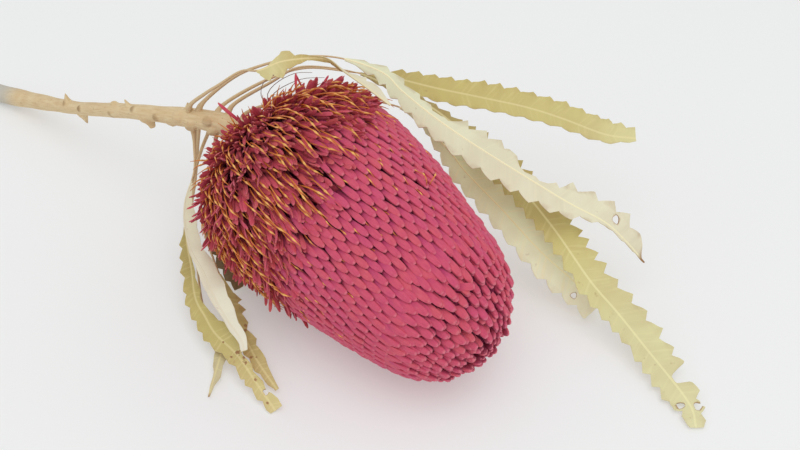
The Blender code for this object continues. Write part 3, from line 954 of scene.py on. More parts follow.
    def add_strays(self, bm: bmesh.types.BMesh) -> None:
        """Press the few strips that stick out over the stem and the top."""
        strays = (
            (0.14, -122, (-0.75, 0.0, 0.9), 0.85, 1.0), (0.15, -78, (-0.1, 0.2, 1.0), 0.62, 0.55),
            (0.15, -70, (-0.3, 0.1, 0.9), 0.6, 0.5), (0.18, -67, (0.45, 0.1, 0.9), 0.55, 0.5),
        )
        for k, (share, turn, ahead, size, wide) in enumerate(strays):
            root, _, _ = self.form.place(self.form.reach_at(share), math.radians(turn), 3.0)
            self.strip_stamps[2 + k % 2].press(bm, stand(root, Vector(ahead), Vector((0, -1, 0.2)),
                                                         Vector((size, wide, wide))), 0.4)

    def build_styles(self) -> None:
        """Press the styles of the open florets, and the few that show between the buds."""
        draw = self.draw
        bm = bmesh.new()
        for share, turn in self.places():
            reach = self.form.reach_at(share)
            late = self.style_late * self.form.flat_side(turn)
            if draw.random() < self.openness(share + late, turn) * self.style_chance:
                sunk = 1.6 + 3.5 * (1.0 - rise(share / 0.18))
                aside = turn + draw.uniform(-0.04, 0.04)
                root, onward, outward = self.form.place(reach - 4.0, aside, sunk)
                across = onward.cross(outward)
                aim = 0.7 + 0.9 * rise(share / 0.16) + draw.uniform(-0.2, 0.4)
                rise_out = 0.5 - 0.25 * self.form.flat_side(turn)
                ahead = outward * rise_out + onward * aim + across * draw.gauss(0.0, 0.16)
                size = Vector((draw.uniform(0.62, 0.95), 1.0, 1.0))
                place = stand(root, ahead, outward, size)
                draw.choice(self.style_stamps).press(bm, place, draw.random() ** 2)
            elif draw.random() < 0.55 * rise((0.95 - share) / 0.55) and share < 0.92:
                root, onward, outward = self.form.place(reach - 7.0, turn + self.sliver_turn, 3.0)
                ahead = onward + outward * draw.uniform(0.22, 0.3)
                size = Vector((draw.uniform(0.5, 0.62), 0.7, 0.7))
                place = stand(root, ahead, outward, size)
                draw.choice(self.style_stamps).press(bm, place, draw.random() ** 2)
        for turn, ahead in ((-72.0, (-0.5, 0.55, 0.55)), (-70.0, (0.25, 0.75, 0.5))):
            root, _, outward = self.form.place(self.form.reach_at(0.7), math.radians(turn), 0.3)
            size = Vector((0.3, 0.9, 0.9))
            self.style_stamps[1].press(bm, stand(root, Vector(ahead), outward, size), 0.1)
        self.press_down(bm)
        finish_piece("head_styles", bm, StyleFinish().material(), self.node)

    def build_hairs(self) -> None:
        """Draw the few long thin threads that loop over the base's top."""
        routes = (
            ((-23, 30, 56), (-24, 36, 57), (-21, 38, 60), (-15, 39, 63), (-9, 38, 64)),
            ((-22, 30, 57), (-22, 36, 57), (-18, 38, 59), (-12, 39, 61), (-5, 38, 62)),
            ((-24, 28, 58), (-26, 34, 58), (-25, 37, 61), (-20, 38, 64)),
        )
        bm = bmesh.new()
        for name in ("along", "tint"):
            bm.verts.layers.float.new(name)
        for knots in routes:
            route = Route(knots)
            stations = []
            for i in range(13):
                point, direction = route.at(route.length * i / 12)
                side, top = cross_axes(direction, UP)
                stations.append(section(point, side, top, 0.17 - 0.008 * i, 0.17 - 0.008 * i))
            draw_tube(bm, stations, 5)
        finish = StyleFinish(name="thread", root=(0.2, 0.1, 0.08), wire=(0.25, 0.13, 0.1))
        finish_piece("head_threads", bm, finish.material(), self.node)

    def build(self) -> None:
        """Build the whole head."""
        self.build_core()
        self.build_buds()
        self.build_strips()
        self.build_styles()
        self.build_hairs()


# The stem

@dataclass(frozen=True)
class Knob:
    """A stub on the stem: its distance from the cut end, turn, length, and radii."""
    reach: float
    turn: float
    length: float
    radius: float
    end: float = 0.3
    lean: float = 0.3
    scar: float = 0.0
    thorn: bool = False


@dataclass
class Stem:
    """The stem: its middle line, its radii, and its knobs and scars."""
    node: str = "stem"
    route: tuple = (
        (-152, 124, 4), (-143, 120, 4), (-130, 111, 7), (-103, 86, 19), (-80, 64, 32), (-61, 49, 40),
        (-47, 40, 44), (-37, 37, 43), (-29, 32, 40), (-20, 23, 38),
    )
    radii: tuple = (3.8, 3.8, 3.2, 2.7, 2.6, 2.7, 2.8, 3.1, 3.6, 3.9, 3.6)
    sides: int = 24
    step: float = 1.2
    voxel: float = 0.32
    knobs: tuple = (
        Knob(reach=59.5, turn=8, length=4.2, radius=1.25, end=0.12, lean=0.9, thorn=True),
        Knob(reach=68.5, turn=186, length=4.2, radius=1.5, end=0.1, lean=-0.2, scar=0.35, thorn=True),
        Knob(reach=60, turn=36, length=0.3, radius=1.0, end=0.6, scar=0.7),
        Knob(reach=71.5, turn=66, length=0.5, radius=1.3, end=0.6, scar=1.0),
        Knob(reach=94, turn=95, length=0.2, radius=0.9, end=0.6, scar=0.6),
        Knob(reach=94.5, turn=130, length=0.2, radius=0.9, end=0.6, scar=0.7),
        Knob(reach=95, turn=5, length=0.9, radius=1.5, end=0.4),
        Knob(reach=105, turn=8, length=2.4, radius=1.0, end=0.25, lean=-0.3, thorn=True),
        Knob(reach=108.5, turn=40, length=0.5, radius=1.2, end=0.6, scar=0.9),
        Knob(reach=114, turn=172, length=2.7, radius=2.2, end=0.35, thorn=True),
        Knob(reach=115, turn=176, length=2.4, radius=0.7, end=0.5, scar=0.6),
        Knob(reach=121.5, turn=88, length=0.6, radius=1.4, end=0.6, scar=0.8),
        Knob(reach=126, turn=190, length=0.8, radius=2.0, end=0.7),
        Knob(reach=133, turn=60, length=0.9, radius=2.2, end=0.6),
        Knob(reach=134.5, turn=0, length=3.2, radius=1.1, end=0.2, lean=0.9, thorn=True),
        Knob(reach=138, turn=110, length=1.3, radius=2.2, end=0.6, scar=0.3),
        Knob(reach=144.5, turn=62, length=1.0, radius=1.7, end=0.5, scar=0.4),
        Knob(reach=146, turn=120, length=1.2, radius=2.0, end=0.6, scar=0.3),
    )

    def build(self) -> None:
        """Draw the stem and its knobs, melt them together and mark the surface."""
        route = Route(self.route)
        bm = bmesh.new()
        count = round(route.length / self.step)
        stations = []
        for i in range(count + 1):
            share = i / count
            point, direction = route.at(share * route.length)
            side, top = cross_axes(direction, UP)
            radius = between(self.radii, share)
            radius *= 1 + 0.025 * math.sin(share * 61) + 0.02 * math.sin(share * 23 + 2)
            stations.append(section(point, side, top, radius, radius * 0.97))
        draw_tube(bm, stations, self.sides)
        for knob in self.knobs:
            self.draw_knob(bm, route, knob)
        bmesh.ops.recalc_face_normals(bm, faces=bm.faces)
        self.dress(self.melt(bm), route)

    def draw_knob(self, bm: bmesh.types.BMesh, route: Route, knob: Knob) -> None:
        """Draw one stub out of the stem's middle.

        Args:
            bm: the stem's mesh.
            route: the stem's middle line.
            knob: the stub.
        """
        point, direction = route.at(knob.reach)
        side, top = cross_axes(direction, UP)
        turn = math.radians(knob.turn)
        out = math.cos(turn) * top + math.sin(turn) * side
        radius = between(self.radii, knob.reach / route.length)
        out = (out + direction * knob.lean * 0.5).normalized()
        across = out.cross(direction).normalized()
        ahead = across.cross(out)
        stations = []
        stub = ((0.0, 1.25), (0.5, 1.15), (0.75, 0.9), (0.9, 0.75), (1.0, knob.end))
        thorn = ((0.0, 1.6), (0.3, 1.3), (0.5, 0.8), (0.75, 0.5), (1.0, knob.end))
        for share, wide in thorn if knob.thorn else stub:
            spot = point + out * (radius * 0.4 + (radius * 0.6 + knob.length) * share)
            stations.append(section(spot, across, ahead, wide * knob.radius, wide * knob.radius * 1.15))
        draw_tube(bm, stations, 12)

    def melt(self, bm: bmesh.types.BMesh) -> bmesh.types.BMesh:
        """Join the closed shapes into one smooth skin.

        Args:
            bm: the mesh, in millimetres, which is used up.

        Returns:
            The joined mesh, in millimetres.
        """
        mesh = bpy.data.meshes.new("stem_draft")
        bm.to_mesh(mesh)
        bm.free()
        draft = bpy.data.objects.new("stem_draft", mesh)
        bpy.context.scene.collection.objects.link(draft)
        remesh = draft.modifiers.new("skin", "REMESH")
        remesh.mode = "VOXEL"
        remesh.voxel_size = self.voxel
        smooth = draft.modifiers.new("soften", "SMOOTH")
        smooth.factor = 0.5
        smooth.iterations = 3
        graph = bpy.context.evaluated_depsgraph_get()
        joined = bmesh.new()
        joined.from_mesh(draft.evaluated_get(graph).to_mesh())
        bpy.data.objects.remove(draft, do_unlink=True)
        return joined

    def dress(self, bm: bmesh.types.BMesh, route: Route) -> None:
        """Mark each point's place along and around the stem, and finish the piece.

        Args:
            bm: the joined mesh.
            route: the stem's middle line.
        """
        along = bm.verts.layers.float.new("along")
        around = bm.verts.layers.float.new("around")
        scar = bm.verts.layers.float.new("scar")
        tree = KDTree(len(route.points))
        for i, point in enumerate(route.points):
            tree.insert(point, i)
        tree.balance()
        for vert in bm.verts:
            _, i, _ = tree.find(vert.co)
            vert[along] = route.reach[i]
            point, direction = route.at(route.reach[i])
            side, top = cross_axes(direction, UP)
            out = vert.co - point
            vert[around] = 3.0 * math.sin(math.atan2(out.dot(side), out.dot(top)) * 2)
            vert[scar] = self.scar_at(route, vert.co)
        finish_piece("stem_bark", bm, BarkFinish().material(), self.node)

    def scar_at(self, route: Route, spot: Vector) -> float:
        """Tell how much of a dark scar a point lies on."""
        most = 0.0
        for knob in self.knobs:
            if knob.scar:
                point, direction = route.at(knob.reach)
                side, top = cross_axes(direction, UP)
                turn = math.radians(knob.turn)
                out = math.cos(turn) * top + math.sin(turn) * side
                middle = point + out * (between(self.radii, knob.reach / route.length) + knob.length)
                most = max(most, knob.scar * rise(1.6 - (spot - middle).length / knob.radius))
        return most


# The leaves

class Face(Enum):
    """Which face of a leaf looks towards its facing direction."""
    GREEN = 0
    PALE = 1


@dataclass(frozen=True)
class Teeth:
    """The saw teeth along one edge.

    first is the first point's distance along the midrib, pitch the distance to the next one,
    depth how deep the notches are, point where in its pitch a tooth has its point, and round
    is low for lobes and 1 for a saw. points lists the points' distances where they are uneven.
    """
    first: float
    pitch: float
    depth: float = 2.2
    point: float = 0.7
    round: float = 0.8
    points: tuple = ()

    def marks(self, start: float, end: float, draw: random.Random) -> list:
        """List the notches and points in order.

        Args:
            start: where the blade starts.
            end: where it ends.
            draw: the random draw for small differences.

        Returns:
            Pairs of a distance and a height, 0 in a notch and 1 at a point.
        """
        places = list(self.points) or [self.first]
        while not self.points and places[-1] < end - 1.0:
            places.append(places[-1] + self.pitch)
        made = [(start - 1.0, 0.0)]
        for before, place in zip([places[0] - self.pitch] + places, places):
            made.append((place - (place - before) * self.point, 0.12 * draw.random()))
            made.append((place + draw.uniform(-0.3, 0.3), draw.uniform(0.85, 1.1)))
        made.append((end + 2.0, 0.2))
        return [mark for mark in made if made[0][0] <= mark[0]]


@dataclass(frozen=True)
class Hole:
    """An insect's hole through a blade."""
    along: float
    across: float
    radius: float


@dataclass(frozen=True)
class Bite:
    """A dip in one edge: where it is, how long, and what share of the width is left."""
    along: float
    length: float
    left: bool
    keep: float = 0.2


@dataclass
class Leaf:
    """One leaf: the midrib's route from the stem's middle, and the blade along it.

    left and right are the half widths over the teeth, at even steps from the stalk's end to
    the tip, as seen by someone who looks along the leaf from above. fold and camber bend the
    edges up, ripple waves them with the teeth, sway bends them slowly, and twist turns the
    blade, in degrees. rib lists the radius of the stalk and midrib from start to end.
    """
    node: str
    route: tuple
    stalk: float
    left: tuple
    right: tuple
    left_teeth: Teeth
    right_teeth: Teeth
    face: Face = Face.GREEN
    finish: LeafFinish = None
    facing: Vector = TO_VIEW
    fold: tuple = (0.1, 0.1)
    camber: float = 0.0
    ripple: float = 0.45
    sway: float = 0.8
    twist: tuple = (0.0, 0.0)
    holes: tuple = ()
    bites: tuple = ()
    rib: tuple = (0.72, 0.36, 0.16)
    row: float = 0.55
    columns: int = 16
    thickness: float = 0.32
    seed: int = 1

    def half_width(self, distance: float, left: bool) -> tuple[float, float]:
        """Give the half width of one side.

        Args:
            distance: how far along the route.
            left: whether it is the left side.

        Returns:
            The width to the notches, and to the outline itself.
        """
        share = (distance - self.stalk) / (self.path.length - self.stalk)
        full = between(self.left if left else self.right, share)
        for bite in self.bites:
            if bite.left == left:
                full *= 1 - (1 - bite.keep) * rise(1.5 - abs(distance - bite.along) / bite.length * 1.5)
        teeth = self.left_teeth if left else self.right_teeth
        depth = min(teeth.depth, full * 0.45)
        marks = self.left_marks if left else self.right_marks
        i = min(max(bisect.bisect_left(marks, (distance, -9.0)), 1), len(marks) - 1)
        (a, low), (b, high) = marks[i - 1], marks[i]
        part = min(max((distance - a) / max(b - a, 0.01), 0.0), 1.0)
        height = low + (high - low) * (part ** teeth.round if high > low else part)
        return full - depth, full - depth * (1 - height)

    def frame_at(self, distance: float) -> tuple[Vector, Vector, Vector]:
        """Give the point on the midrib, and the blade's directions across and up there."""
        point, direction = self.path.at(distance)
        side, top = cross_axes(direction, self.facing)
        share = (distance - self.stalk) / (self.path.length - self.stalk)
        turn = Matrix.Rotation(math.radians(between(self.twist, share)), 3, direction)
        return point, turn @ side, turn @ top

    def build(self) -> None:
        """Draw the blade and the midrib, and finish the leaf."""
        self.path = Route(self.route)
        draw = random.Random(self.seed)
        self.left_marks = self.left_teeth.marks(self.stalk, self.path.length, draw)
        self.right_marks = self.right_teeth.marks(self.stalk, self.path.length, draw)
        self.phase = draw.uniform(0, math.tau)
        bm = bmesh.new()
        self.marks = {name: bm.verts.layers.float.new(name)
                      for name in ("along", "across", "under", "rib", "blade", "rim")}
        self.draw_blade(bm)
        self.draw_rib(bm)
        finish_piece(self.node + "_blade", bm, self.finish.material(self.path.length), self.node, 50.0)

    def draw_blade(self, bm: bmesh.types.BMesh) -> None:
        """Bend a grid into the blade, cut its holes and give it its thickness."""
        length = self.path.length - self.stalk
        rows = round(length / self.row)
        bmesh.ops.create_grid(bm, x_segments=rows, y_segments=self.columns, size=1.0)
        snaps = {left: self.snap_rows(rows, left) for left in (True, False)}
        for vert in bm.verts:
            row = round((vert.co.x + 1) / 2 * rows)
            self.bend(vert, self.stalk + length * row / rows, vert.co.y, snaps[vert.co.y < 0].get(row))
        for hole in self.holes:
            self.cut_hole(bm, hole)
        top_faces = bm.faces[:]
        grown = bmesh.ops.extrude_face_region(bm, geom=top_faces, use_keep_orig=True)["geom"]
        bm.normal_update()
        for vert in [item for item in grown if isinstance(item, bmesh.types.BMVert)]:
            _, _, top = self.frame_at(vert[self.marks["along"]])
            vert.co -= top * self.thickness
            vert[self.marks["under"]] = 1.0 - self.face.value

    def snap_rows(self, rows: int, left: bool) -> dict:
        """Match rows of the grid to the notches and points of one edge.

        Args:
            rows: the number of rows.
            left: whether it is the left edge.

        Returns:
            The distance along the leaf for each row that is matched.
        """
        length = self.path.length - self.stalk
        marks = self.left_marks if left else self.right_marks
        snapped = {}
        for distance, _ in marks:
            row = round((distance - self.stalk) / length * rows)
            if 0 < row < rows:
                snapped[row] = distance
        return snapped

    def bend(self, vert: bmesh.types.BMVert, distance: float, place: float, edge: object) -> None:
        """Move one point of the grid to its place on the blade.

        Args:
            vert: the point.
            distance: its row's distance along the midrib.
            place: its column, from -1 at the left edge to 1 at the right.
            edge: the distance of a notch or point that this row's edge is matched to.
        """
        left = place < 0
        inner = 1.0 - 2.0 / self.columns
        if edge is not None and abs(place) > inner + 0.01:
            distance = edge
        notch, outline = self.half_width(distance, left)
        if abs(place) > inner + 0.01:
            across = outline
        else:
            across = abs(place) / inner * notch * 0.97
        signed = -across if left else across
        point, side, top = self.frame_at(distance)
        widest = max(self.left + self.right)
        teeth = self.left_teeth if left else self.right_teeth
        edge_share = (across / widest) ** 2
        wave = math.sin(math.tau * (distance - teeth.first) / teeth.pitch)
        slow = math.sin(distance * 0.11 + self.phase) + 0.6 * math.sin(distance * 0.23 + 2 * self.phase)
        lift = self.fold[0 if left else 1] * across + self.camber * edge_share * widest
        lift += self.ripple * wave * edge_share + self.sway * slow * edge_share
        vert.co = point + side * signed + top * lift
        vert[self.marks["along"]] = distance
        vert[self.marks["across"]] = signed
        vert[self.marks["under"]] = float(self.face.value)
        vert[self.marks["blade"]] = 1.0
        vert[self.marks["rim"]] = abs(place)

    def cut_hole(self, bm: bmesh.types.BMesh, hole: Hole) -> None:
        """Open a round hole in the grid.

        Args:
            bm: the blade, still a single skin.
            hole: the hole.
        """
        along, across = self.marks["along"], self.marks["across"]

        def off(a: float, c: float) -> Vector:
            return Vector((a - hole.along, c - hole.across))

        def far(face: bmesh.types.BMFace) -> float:
            middle = [sum(v[k] for v in face.verts) / len(face.verts) for k in (along, across)]
            return off(*middle).length

        inside = [face for face in bm.faces if far(face) < hole.radius]
        rim = {vert for face in inside for vert in face.verts}
        bmesh.ops.delete(bm, geom=inside, context="FACES")
        for vert in (v for v in rim if v.is_valid):
            away = off(vert[along], vert[across])
            uneven = 1 + 0.12 * math.sin(3 * away.angle_signed(Vector((1, 0))))
            away = away.normalized() * hole.radius * uneven
            point, side, _ = self.frame_at(vert[along])
            _, direction = self.path.at(vert[along])
            vert.co += direction * (hole.along + away.x - vert[along])
            vert.co += side * (hole.across + away.y - vert[across])
            vert[self.marks["rim"]] = 2.0

    def draw_rib(self, bm: bmesh.types.BMesh) -> None:
        """Draw the stalk, and the midrib that goes on from it along the blade."""
        start, middle, end = self.rib
        count = round(self.path.length / 1.6)
        stations = []
        places = []
        for i in range(count + 1):
            distance = self.path.length * i / count
            point, side, top = self.frame_at(distance)
            if distance < self.stalk:
                radius = start + (middle - start) * rise(distance / self.stalk)
                radius += 0.8 * rise(1 - distance / 9.0)
            else:
                part = (distance - self.stalk) / (self.path.length - self.stalk)
                radius = middle + (end - middle) * part
            sink = 0.5 * self.thickness if self.face is Face.GREEN else 0.25 * self.thickness
            flat = 1.0 if distance < self.stalk else 0.62
            stations.append(section(point - top * sink, side, top, radius, radius * flat))
            places.append(distance)
        for distance, ring in zip(places, draw_tube(bm, stations, 8)):
            for vert in ring:
                vert[self.marks["along"]] = distance
                vert[self.marks["rib"]] = 1.0
                vert[self.marks["blade"]] = 1.0 if distance > self.stalk else -1.0
                vert[self.marks["under"]] = float(self.face.value)


def leaves() -> list:
    """List the ten leaves."""
    return [
        Leaf(
            node="leaf_front_right", face=Face.GREEN, seed=3, fold=(0.06, 0.12),
            # The darker olive tones towards the blade's start are partly painted shade, where this leaf
            # runs under the pale long leaf.
            finish=LeafFinish(name="front_right_skin", rib=(0.95, 0.9, 0.5), veins=0.06, upper=(
                (0.3, (0.4, 0.32, 0.12)), (0.52, (0.52, 0.44, 0.16)), (0.66, (0.64, 0.57, 0.22)),
                (0.8, (0.72, 0.68, 0.36)), (1.0, (0.76, 0.72, 0.42)))),
            route=((-38, 37, 44), (-37, 41, 49), (-23, 42, 58), (-13, 45, 62), (3, 44, 61), (15, 42, 57),
                   (33, 37, 49), (55, 16, 39), (69, 1, 29), (81, -14, 18), (89, -22, 12), (97, -33, 7),
                   (108, -52, 2), (109, -62, 1)),
            stalk=55.0,
            left=(1, 1.4, 1.6, 2.8, 5.8, 6.6, 7.4, 7.8, 7.6, 7.6, 8, 8.2, 7.6, 4.9, 3.0),
            right=(1, 2, 4.5, 6, 6, 6, 5.8, 5.2, 5, 5.8, 6, 5.4, 6.2, 6.8, 2.6),
            left_teeth=Teeth(first=62, pitch=5.0, depth=2.8, round=1.0, points=(
                62, 67, 72, 77, 82, 87, 92, 97, 102, 107, 112, 117, 122, 127, 132, 137, 141, 146, 150,
                155, 160, 167, 173, 180, 187, 194, 200, 210, 215, 219)),
            right_teeth=Teeth(first=62, pitch=5.5, depth=2.0, round=1.0, points=(
                62, 67, 73, 78, 84, 89, 95, 100, 106, 111, 117, 122, 128, 133, 138, 143, 148, 154, 163,
                168, 174, 179, 184, 191, 196, 201, 207, 213, 218)),
            holes=(Hole(along=212, across=2.8, radius=1.3), Hole(along=214, across=-2.0, radius=1.2)),
            bites=(Bite(along=203, length=3.6, left=True, keep=0.12),),
            rib=(0.72, 0.2, 0.12),
        ),
        Leaf(
            node="leaf_pale_long", face=Face.PALE, seed=5, fold=(-0.1, -0.12),
            finish=LeafFinish(
                name="pale_long_skin", rib=(0.93, 0.86, 0.56), rim=0.3, tip=0.97, veins=0.07,
                under=((0.4, (0.76, 0.77, 0.54)), (0.75, (0.8, 0.76, 0.56)), (1.0, (0.8, 0.73, 0.53)))),
            route=((-49, 41, 44), (-47, 41, 50), (-36, 41, 60), (-26, 39, 66), (-13, 38, 70), (0, 39, 69),
                   (14, 35, 66), (21, 26, 64), (32, 16, 60), (45, 9, 54), (66, -1, 45), (75, -3, 40),
                   (86, -3, 33), (94, -2, 24), (101, 0, 14)),
            stalk=62.0,
            left=(0.8, 1.8, 3.2, 3.6, 3.2, 1.8, 5.8, 6.8, 7, 1.6, 2.4, 7.4, 8.4, 8.4, 8.0, 6.6, 0.4),
            right=(1, 2.8, 4.2, 4.6, 5.2, 6, 6.6, 7.2, 7, 6.8, 6.4, 5.4, 3, 1.2, 1, 0.7, 0.4),
            left_teeth=Teeth(first=68, pitch=6.9, depth=2.9, round=0.85, points=(
                68, 75, 82, 91, 97, 103, 110, 117, 123, 130, 138, 145, 151, 160, 167, 174, 184)),
            right_teeth=Teeth(first=71, pitch=7.0, depth=1.9, round=0.7),
            holes=(Hole(along=170, across=-3.2, radius=1.4),),
            bites=(Bite(along=191, length=5.0, left=True, keep=0.05),),
            rib=(0.72, 0.3, 0.2),
        ),
        Leaf(
            node="leaf_top_short", face=Face.GREEN, seed=7, twist=(0, 0, 10, 60, 120, 150, 160, 165),
            finish=LeafFinish(name="top_short_skin", rib=(0.85, 0.72, 0.38), upper=(
                (0.4, (0.6, 0.5, 0.2)), (0.5, (0.74, 0.68, 0.34)), (0.6, (0.6, 0.48, 0.18)),
                (1.0, (0.6, 0.5, 0.2)))),
            route=((-52, 43, 44), (-51, 40, 50), (-45, 36, 57), (-40, 35, 61), (-32, 34, 67), (-25, 28, 71),
                   (-17, 27, 75), (-4, 25, 77), (3, 18, 76), (9, 12, 75), (17, 4, 73)),
            stalk=42.0,
            left=(0.5, 0.7, 4.6, 2.0, 0.8, 0.6, 0.5, 0.5, 0.5, 0.5, 0.5, 0.4),
            right=(0.8, 5.8, 6.2, 2.0, 0.9, 1.4, 3.4, 4.4, 4.4, 3.8, 2.4, 0.6),
            left_teeth=Teeth(first=55, pitch=5, depth=3.4, round=0.5, points=(55, 60)),
            right_teeth=Teeth(first=46.5, pitch=4, depth=3.0, round=0.45, points=(
                46.5, 52, 58, 66, 73, 81, 88)),
        ),
        Leaf(
            node="leaf_back_right", face=Face.GREEN, seed=9, fold=(0.08, 0.08), ripple=0.7,
            finish=LeafFinish(name="back_right_skin", veins=0.06, upper=(
                (0.35, (0.46, 0.37, 0.13)), (0.55, (0.6, 0.51, 0.18)), (0.85, (0.66, 0.58, 0.24)),
                (1.0, (0.72, 0.66, 0.34)))),
            route=((-42, 38, 44), (-41, 44, 47), (-26, 51, 53), (-13, 59, 53), (3, 58, 52), (17, 56, 51),
                   (33, 52, 49), (49, 49, 47), (64, 46, 45), (76, 42, 43), (90, 37, 40), (101, 39, 37)),
            stalk=62.0,
            left=(1, 4, 5.4, 6.2, 6.2, 6.2, 6.2, 6.6, 4.4),
            right=(1, 4.4, 5, 5, 4.8, 4.6, 3.8, 3.4, 1.6),
            left_teeth=Teeth(first=68, pitch=5.7, depth=1.7),
            right_teeth=Teeth(first=74.5, pitch=6.8, depth=0.9, point=0.5, round=0.7),
            rib=(0.72, 0.28, 0.16),
        ),
        Leaf(
            node="leaf_behind_head", face=Face.PALE, seed=11, fold=(-0.05, -0.08),
            finish=LeafFinish(name="behind_head_skin", rib=(0.92, 0.86, 0.52), veins=0.16, under=(
                (0.4, (0.62, 0.61, 0.39)), (0.6, (0.82, 0.88, 0.58)), (0.8, (0.88, 0.92, 0.65)),
                (1.0, (0.9, 0.88, 0.66)))),
            route=((-34, 35, 42), (-33, 44, 44), (-20, 50, 45), (-1, 52, 45), (21, 47, 44), (35, 32, 39),
                   (42, 22, 35), (54, 10, 28), (66, 0, 19), (78, -6, 10), (85, -12, 5)),
            stalk=65.0,
            left=(1, 1.4, 3.8, 6.2, 7.8, 8.2, 7.8, 6.5, 3.5),
            right=(1, 1.6, 4.6, 5.8, 6.2, 6.6, 7, 7.4, 6),
            left_teeth=Teeth(first=69.5, pitch=6.4, depth=1.6, point=0.7, round=0.5),
            right_teeth=Teeth(first=72, pitch=7.0, depth=1.9, point=0.66, round=0.6),
            holes=(Hole(along=155, across=3.4, radius=1.0),),
            rib=(0.72, 0.3, 0.16),
        ),
        Leaf(
            node="leaf_left_pale", face=Face.PALE, seed=13, fold=(0.1, 0.1), ripple=0.15,
            finish=LeafFinish(name="left_pale_skin", rib=(0.84, 0.78, 0.58), veins=0.05, under=(
                (0.2, (0.84, 0.79, 0.56)), (1.0, (0.88, 0.86, 0.7)))),
            route=((-52, 43, 43), (-51, 41, 39), (-51, 39, 32), (-51, 33, 27), (-53, 22, 23), (-52, 12, 21),
                   (-49, 1, 19), (-44, -8, 17), (-40, -17, 15), (-35, -26, 13), (-30, -34, 12),
                   (-28, -39, 11)),
            stalk=24.0,
            left=(1.2, 3.4, 4.4, 4.1, 4.4, 5.0, 4.2, 2.6, 1.4),
            right=(0.4, 0.5, 0.5, 0.7, 1.7, 2.1, 1.4, 1.7, 1.4),
            left_teeth=Teeth(first=40, pitch=11.0, depth=0.6, point=0.5, round=0.5),
            right_teeth=Teeth(first=43, pitch=12.0, depth=0.5, point=0.5, round=0.5),
            rib=(0.8, 0.3, 0.1),
        ),
        Leaf(
            node="leaf_left_green", face=Face.GREEN, seed=15, fold=(0.15, 0.15),
            finish=LeafFinish(
                name="left_green_skin", rim=0.2,
                upper=((0.3, (0.62, 0.53, 0.2)), (0.7, (0.58, 0.49, 0.18)), (1.0, (0.7, 0.6, 0.28))),
                spots=(Spot(105, -0.6, 0.9), Spot(108, -1.2, 0.7), Spot(110, -0.7, 0.9),
                       Spot(105, 1.8, 0.6), Spot(117, -0.4, 0.7), Spot(98, 0.2, 0.4),
                       Spot(126, 0.6, 0.5))),
            route=((-46, 40, 44), (-46, 43, 38), (-49, 41, 31), (-52, 34, 23), (-54, 26, 16), (-53, 16, 11),
                   (-50, 3, 9), (-47, -11, 8), (-43, -19, 7), (-39, -26, 6), (-31, -36, 6), (-25, -45, 4),
                   (-18, -55, 1)),
            stalk=40.0,
            left=(0.4, 0.9, 1.2, 2.3, 2.4, 6.6, 1.9, 2.0, 3.0),
            right=(0.4, 2.8, 3.7, 3.6, 4.2, 4.4, 3.8, 3.3, 2.0),
            left_teeth=Teeth(first=52, pitch=9, depth=1.0, points=(52, 63, 73, 86, 97, 104, 112, 119, 127)),
            right_teeth=Teeth(first=50, pitch=6, depth=1.3, points=(
                50, 56, 63, 72, 77, 83, 89, 93, 99, 107, 114, 117, 123, 128)),
            holes=(Hole(along=122.5, across=-0.9, radius=1.0),),
        ),
        Leaf(
            node="leaf_left_inner", face=Face.GREEN, seed=17,
            finish=LeafFinish(name="left_inner_skin",
                              upper=((0.5, (0.52, 0.41, 0.16)), (1.0, (0.62, 0.5, 0.22))),
                              spots=(Spot(87, -1.8, 0.8), Spot(88.5, -0.8, 0.7), Spot(100, 1.2, 0.6),
                                     Spot(101, -0.4, 0.5)), rim=0.2),
            route=((-42, 38, 44), (-43, 41, 38), (-45, 37, 30), (-47, 30, 21), (-47, 19, 13), (-43, 7, 10),
                   (-39, -3, 8), (-34, -16, 6), (-29, -28, 5), (-24, -38, 4), (-18, -47, 2)),
            stalk=62.0,
            left=(1, 3.6, 3.9, 2.9, 3.5, 2.1, 1), right=(1, 3, 3.4, 2.9, 2.9, 2.5, 1),
            left_teeth=Teeth(first=75, pitch=5, depth=1.9, points=(75, 79, 86, 94, 103)),
            right_teeth=Teeth(first=70, pitch=7.0, depth=1.0),
        ),
        Leaf(
            node="leaf_left_lowest", face=Face.GREEN, seed=19,
            finish=LeafFinish(name="left_lowest_skin", tip=0.985, upper=(
                (0.6, (0.66, 0.6, 0.34)), (1.0, (0.66, 0.6, 0.36)))),
            route=((-49, 41, 43), (-50, 46, 37), (-52, 49, 25), (-53, 44, 16), (-54, 34, 8), (-51, 19, 4),
                   (-46, -6, 3), (-41, -21, 3), (-37, -28, 3), (-37, -34, 3), (-38, -41, 2), (-39, -49, 1)),
            stalk=92.0,
            left=(1, 1.8, 1.8, 2.2, 2.2, 0.3), right=(1, 1.6, 3.0, 2.2, 0.5, 0.3),
            left_teeth=Teeth(first=100, pitch=8.0, depth=0.5),
            right_teeth=Teeth(first=103, pitch=8.0, depth=0.5),
            rib=(0.7, 0.35, 0.12),
        ),
        Leaf(
            node="leaf_under_head", face=Face.GREEN, seed=21,
            # Its near-black brown, midrib included, is painted shade: this leaf lies in the deep shadow
            # under the head.
            finish=LeafFinish(name="under_head_shaded_skin", rib=(0.3, 0.2, 0.09), veins=0.15, upper=(
                (0.3, (0.14, 0.095, 0.05)), (1.0, (0.2, 0.14, 0.07)))),
            route=((-38, 37, 43), (-39, 41, 37), (-42, 38, 29), (-45, 33, 20), (-46, 27, 13), (-42, 18, 7),
                   (-38, 9, 4), (-34, 1, 2)),
            stalk=26.0,
            left=(1, 3, 4, 4.4, 4, 2), right=(1, 3, 4, 4.4, 4, 2),
            left_teeth=Teeth(first=30, pitch=6.0, depth=2.0),
            right_teeth=Teeth(first=32, pitch=6.0, depth=2.0),
        ),
    ]


# The studio

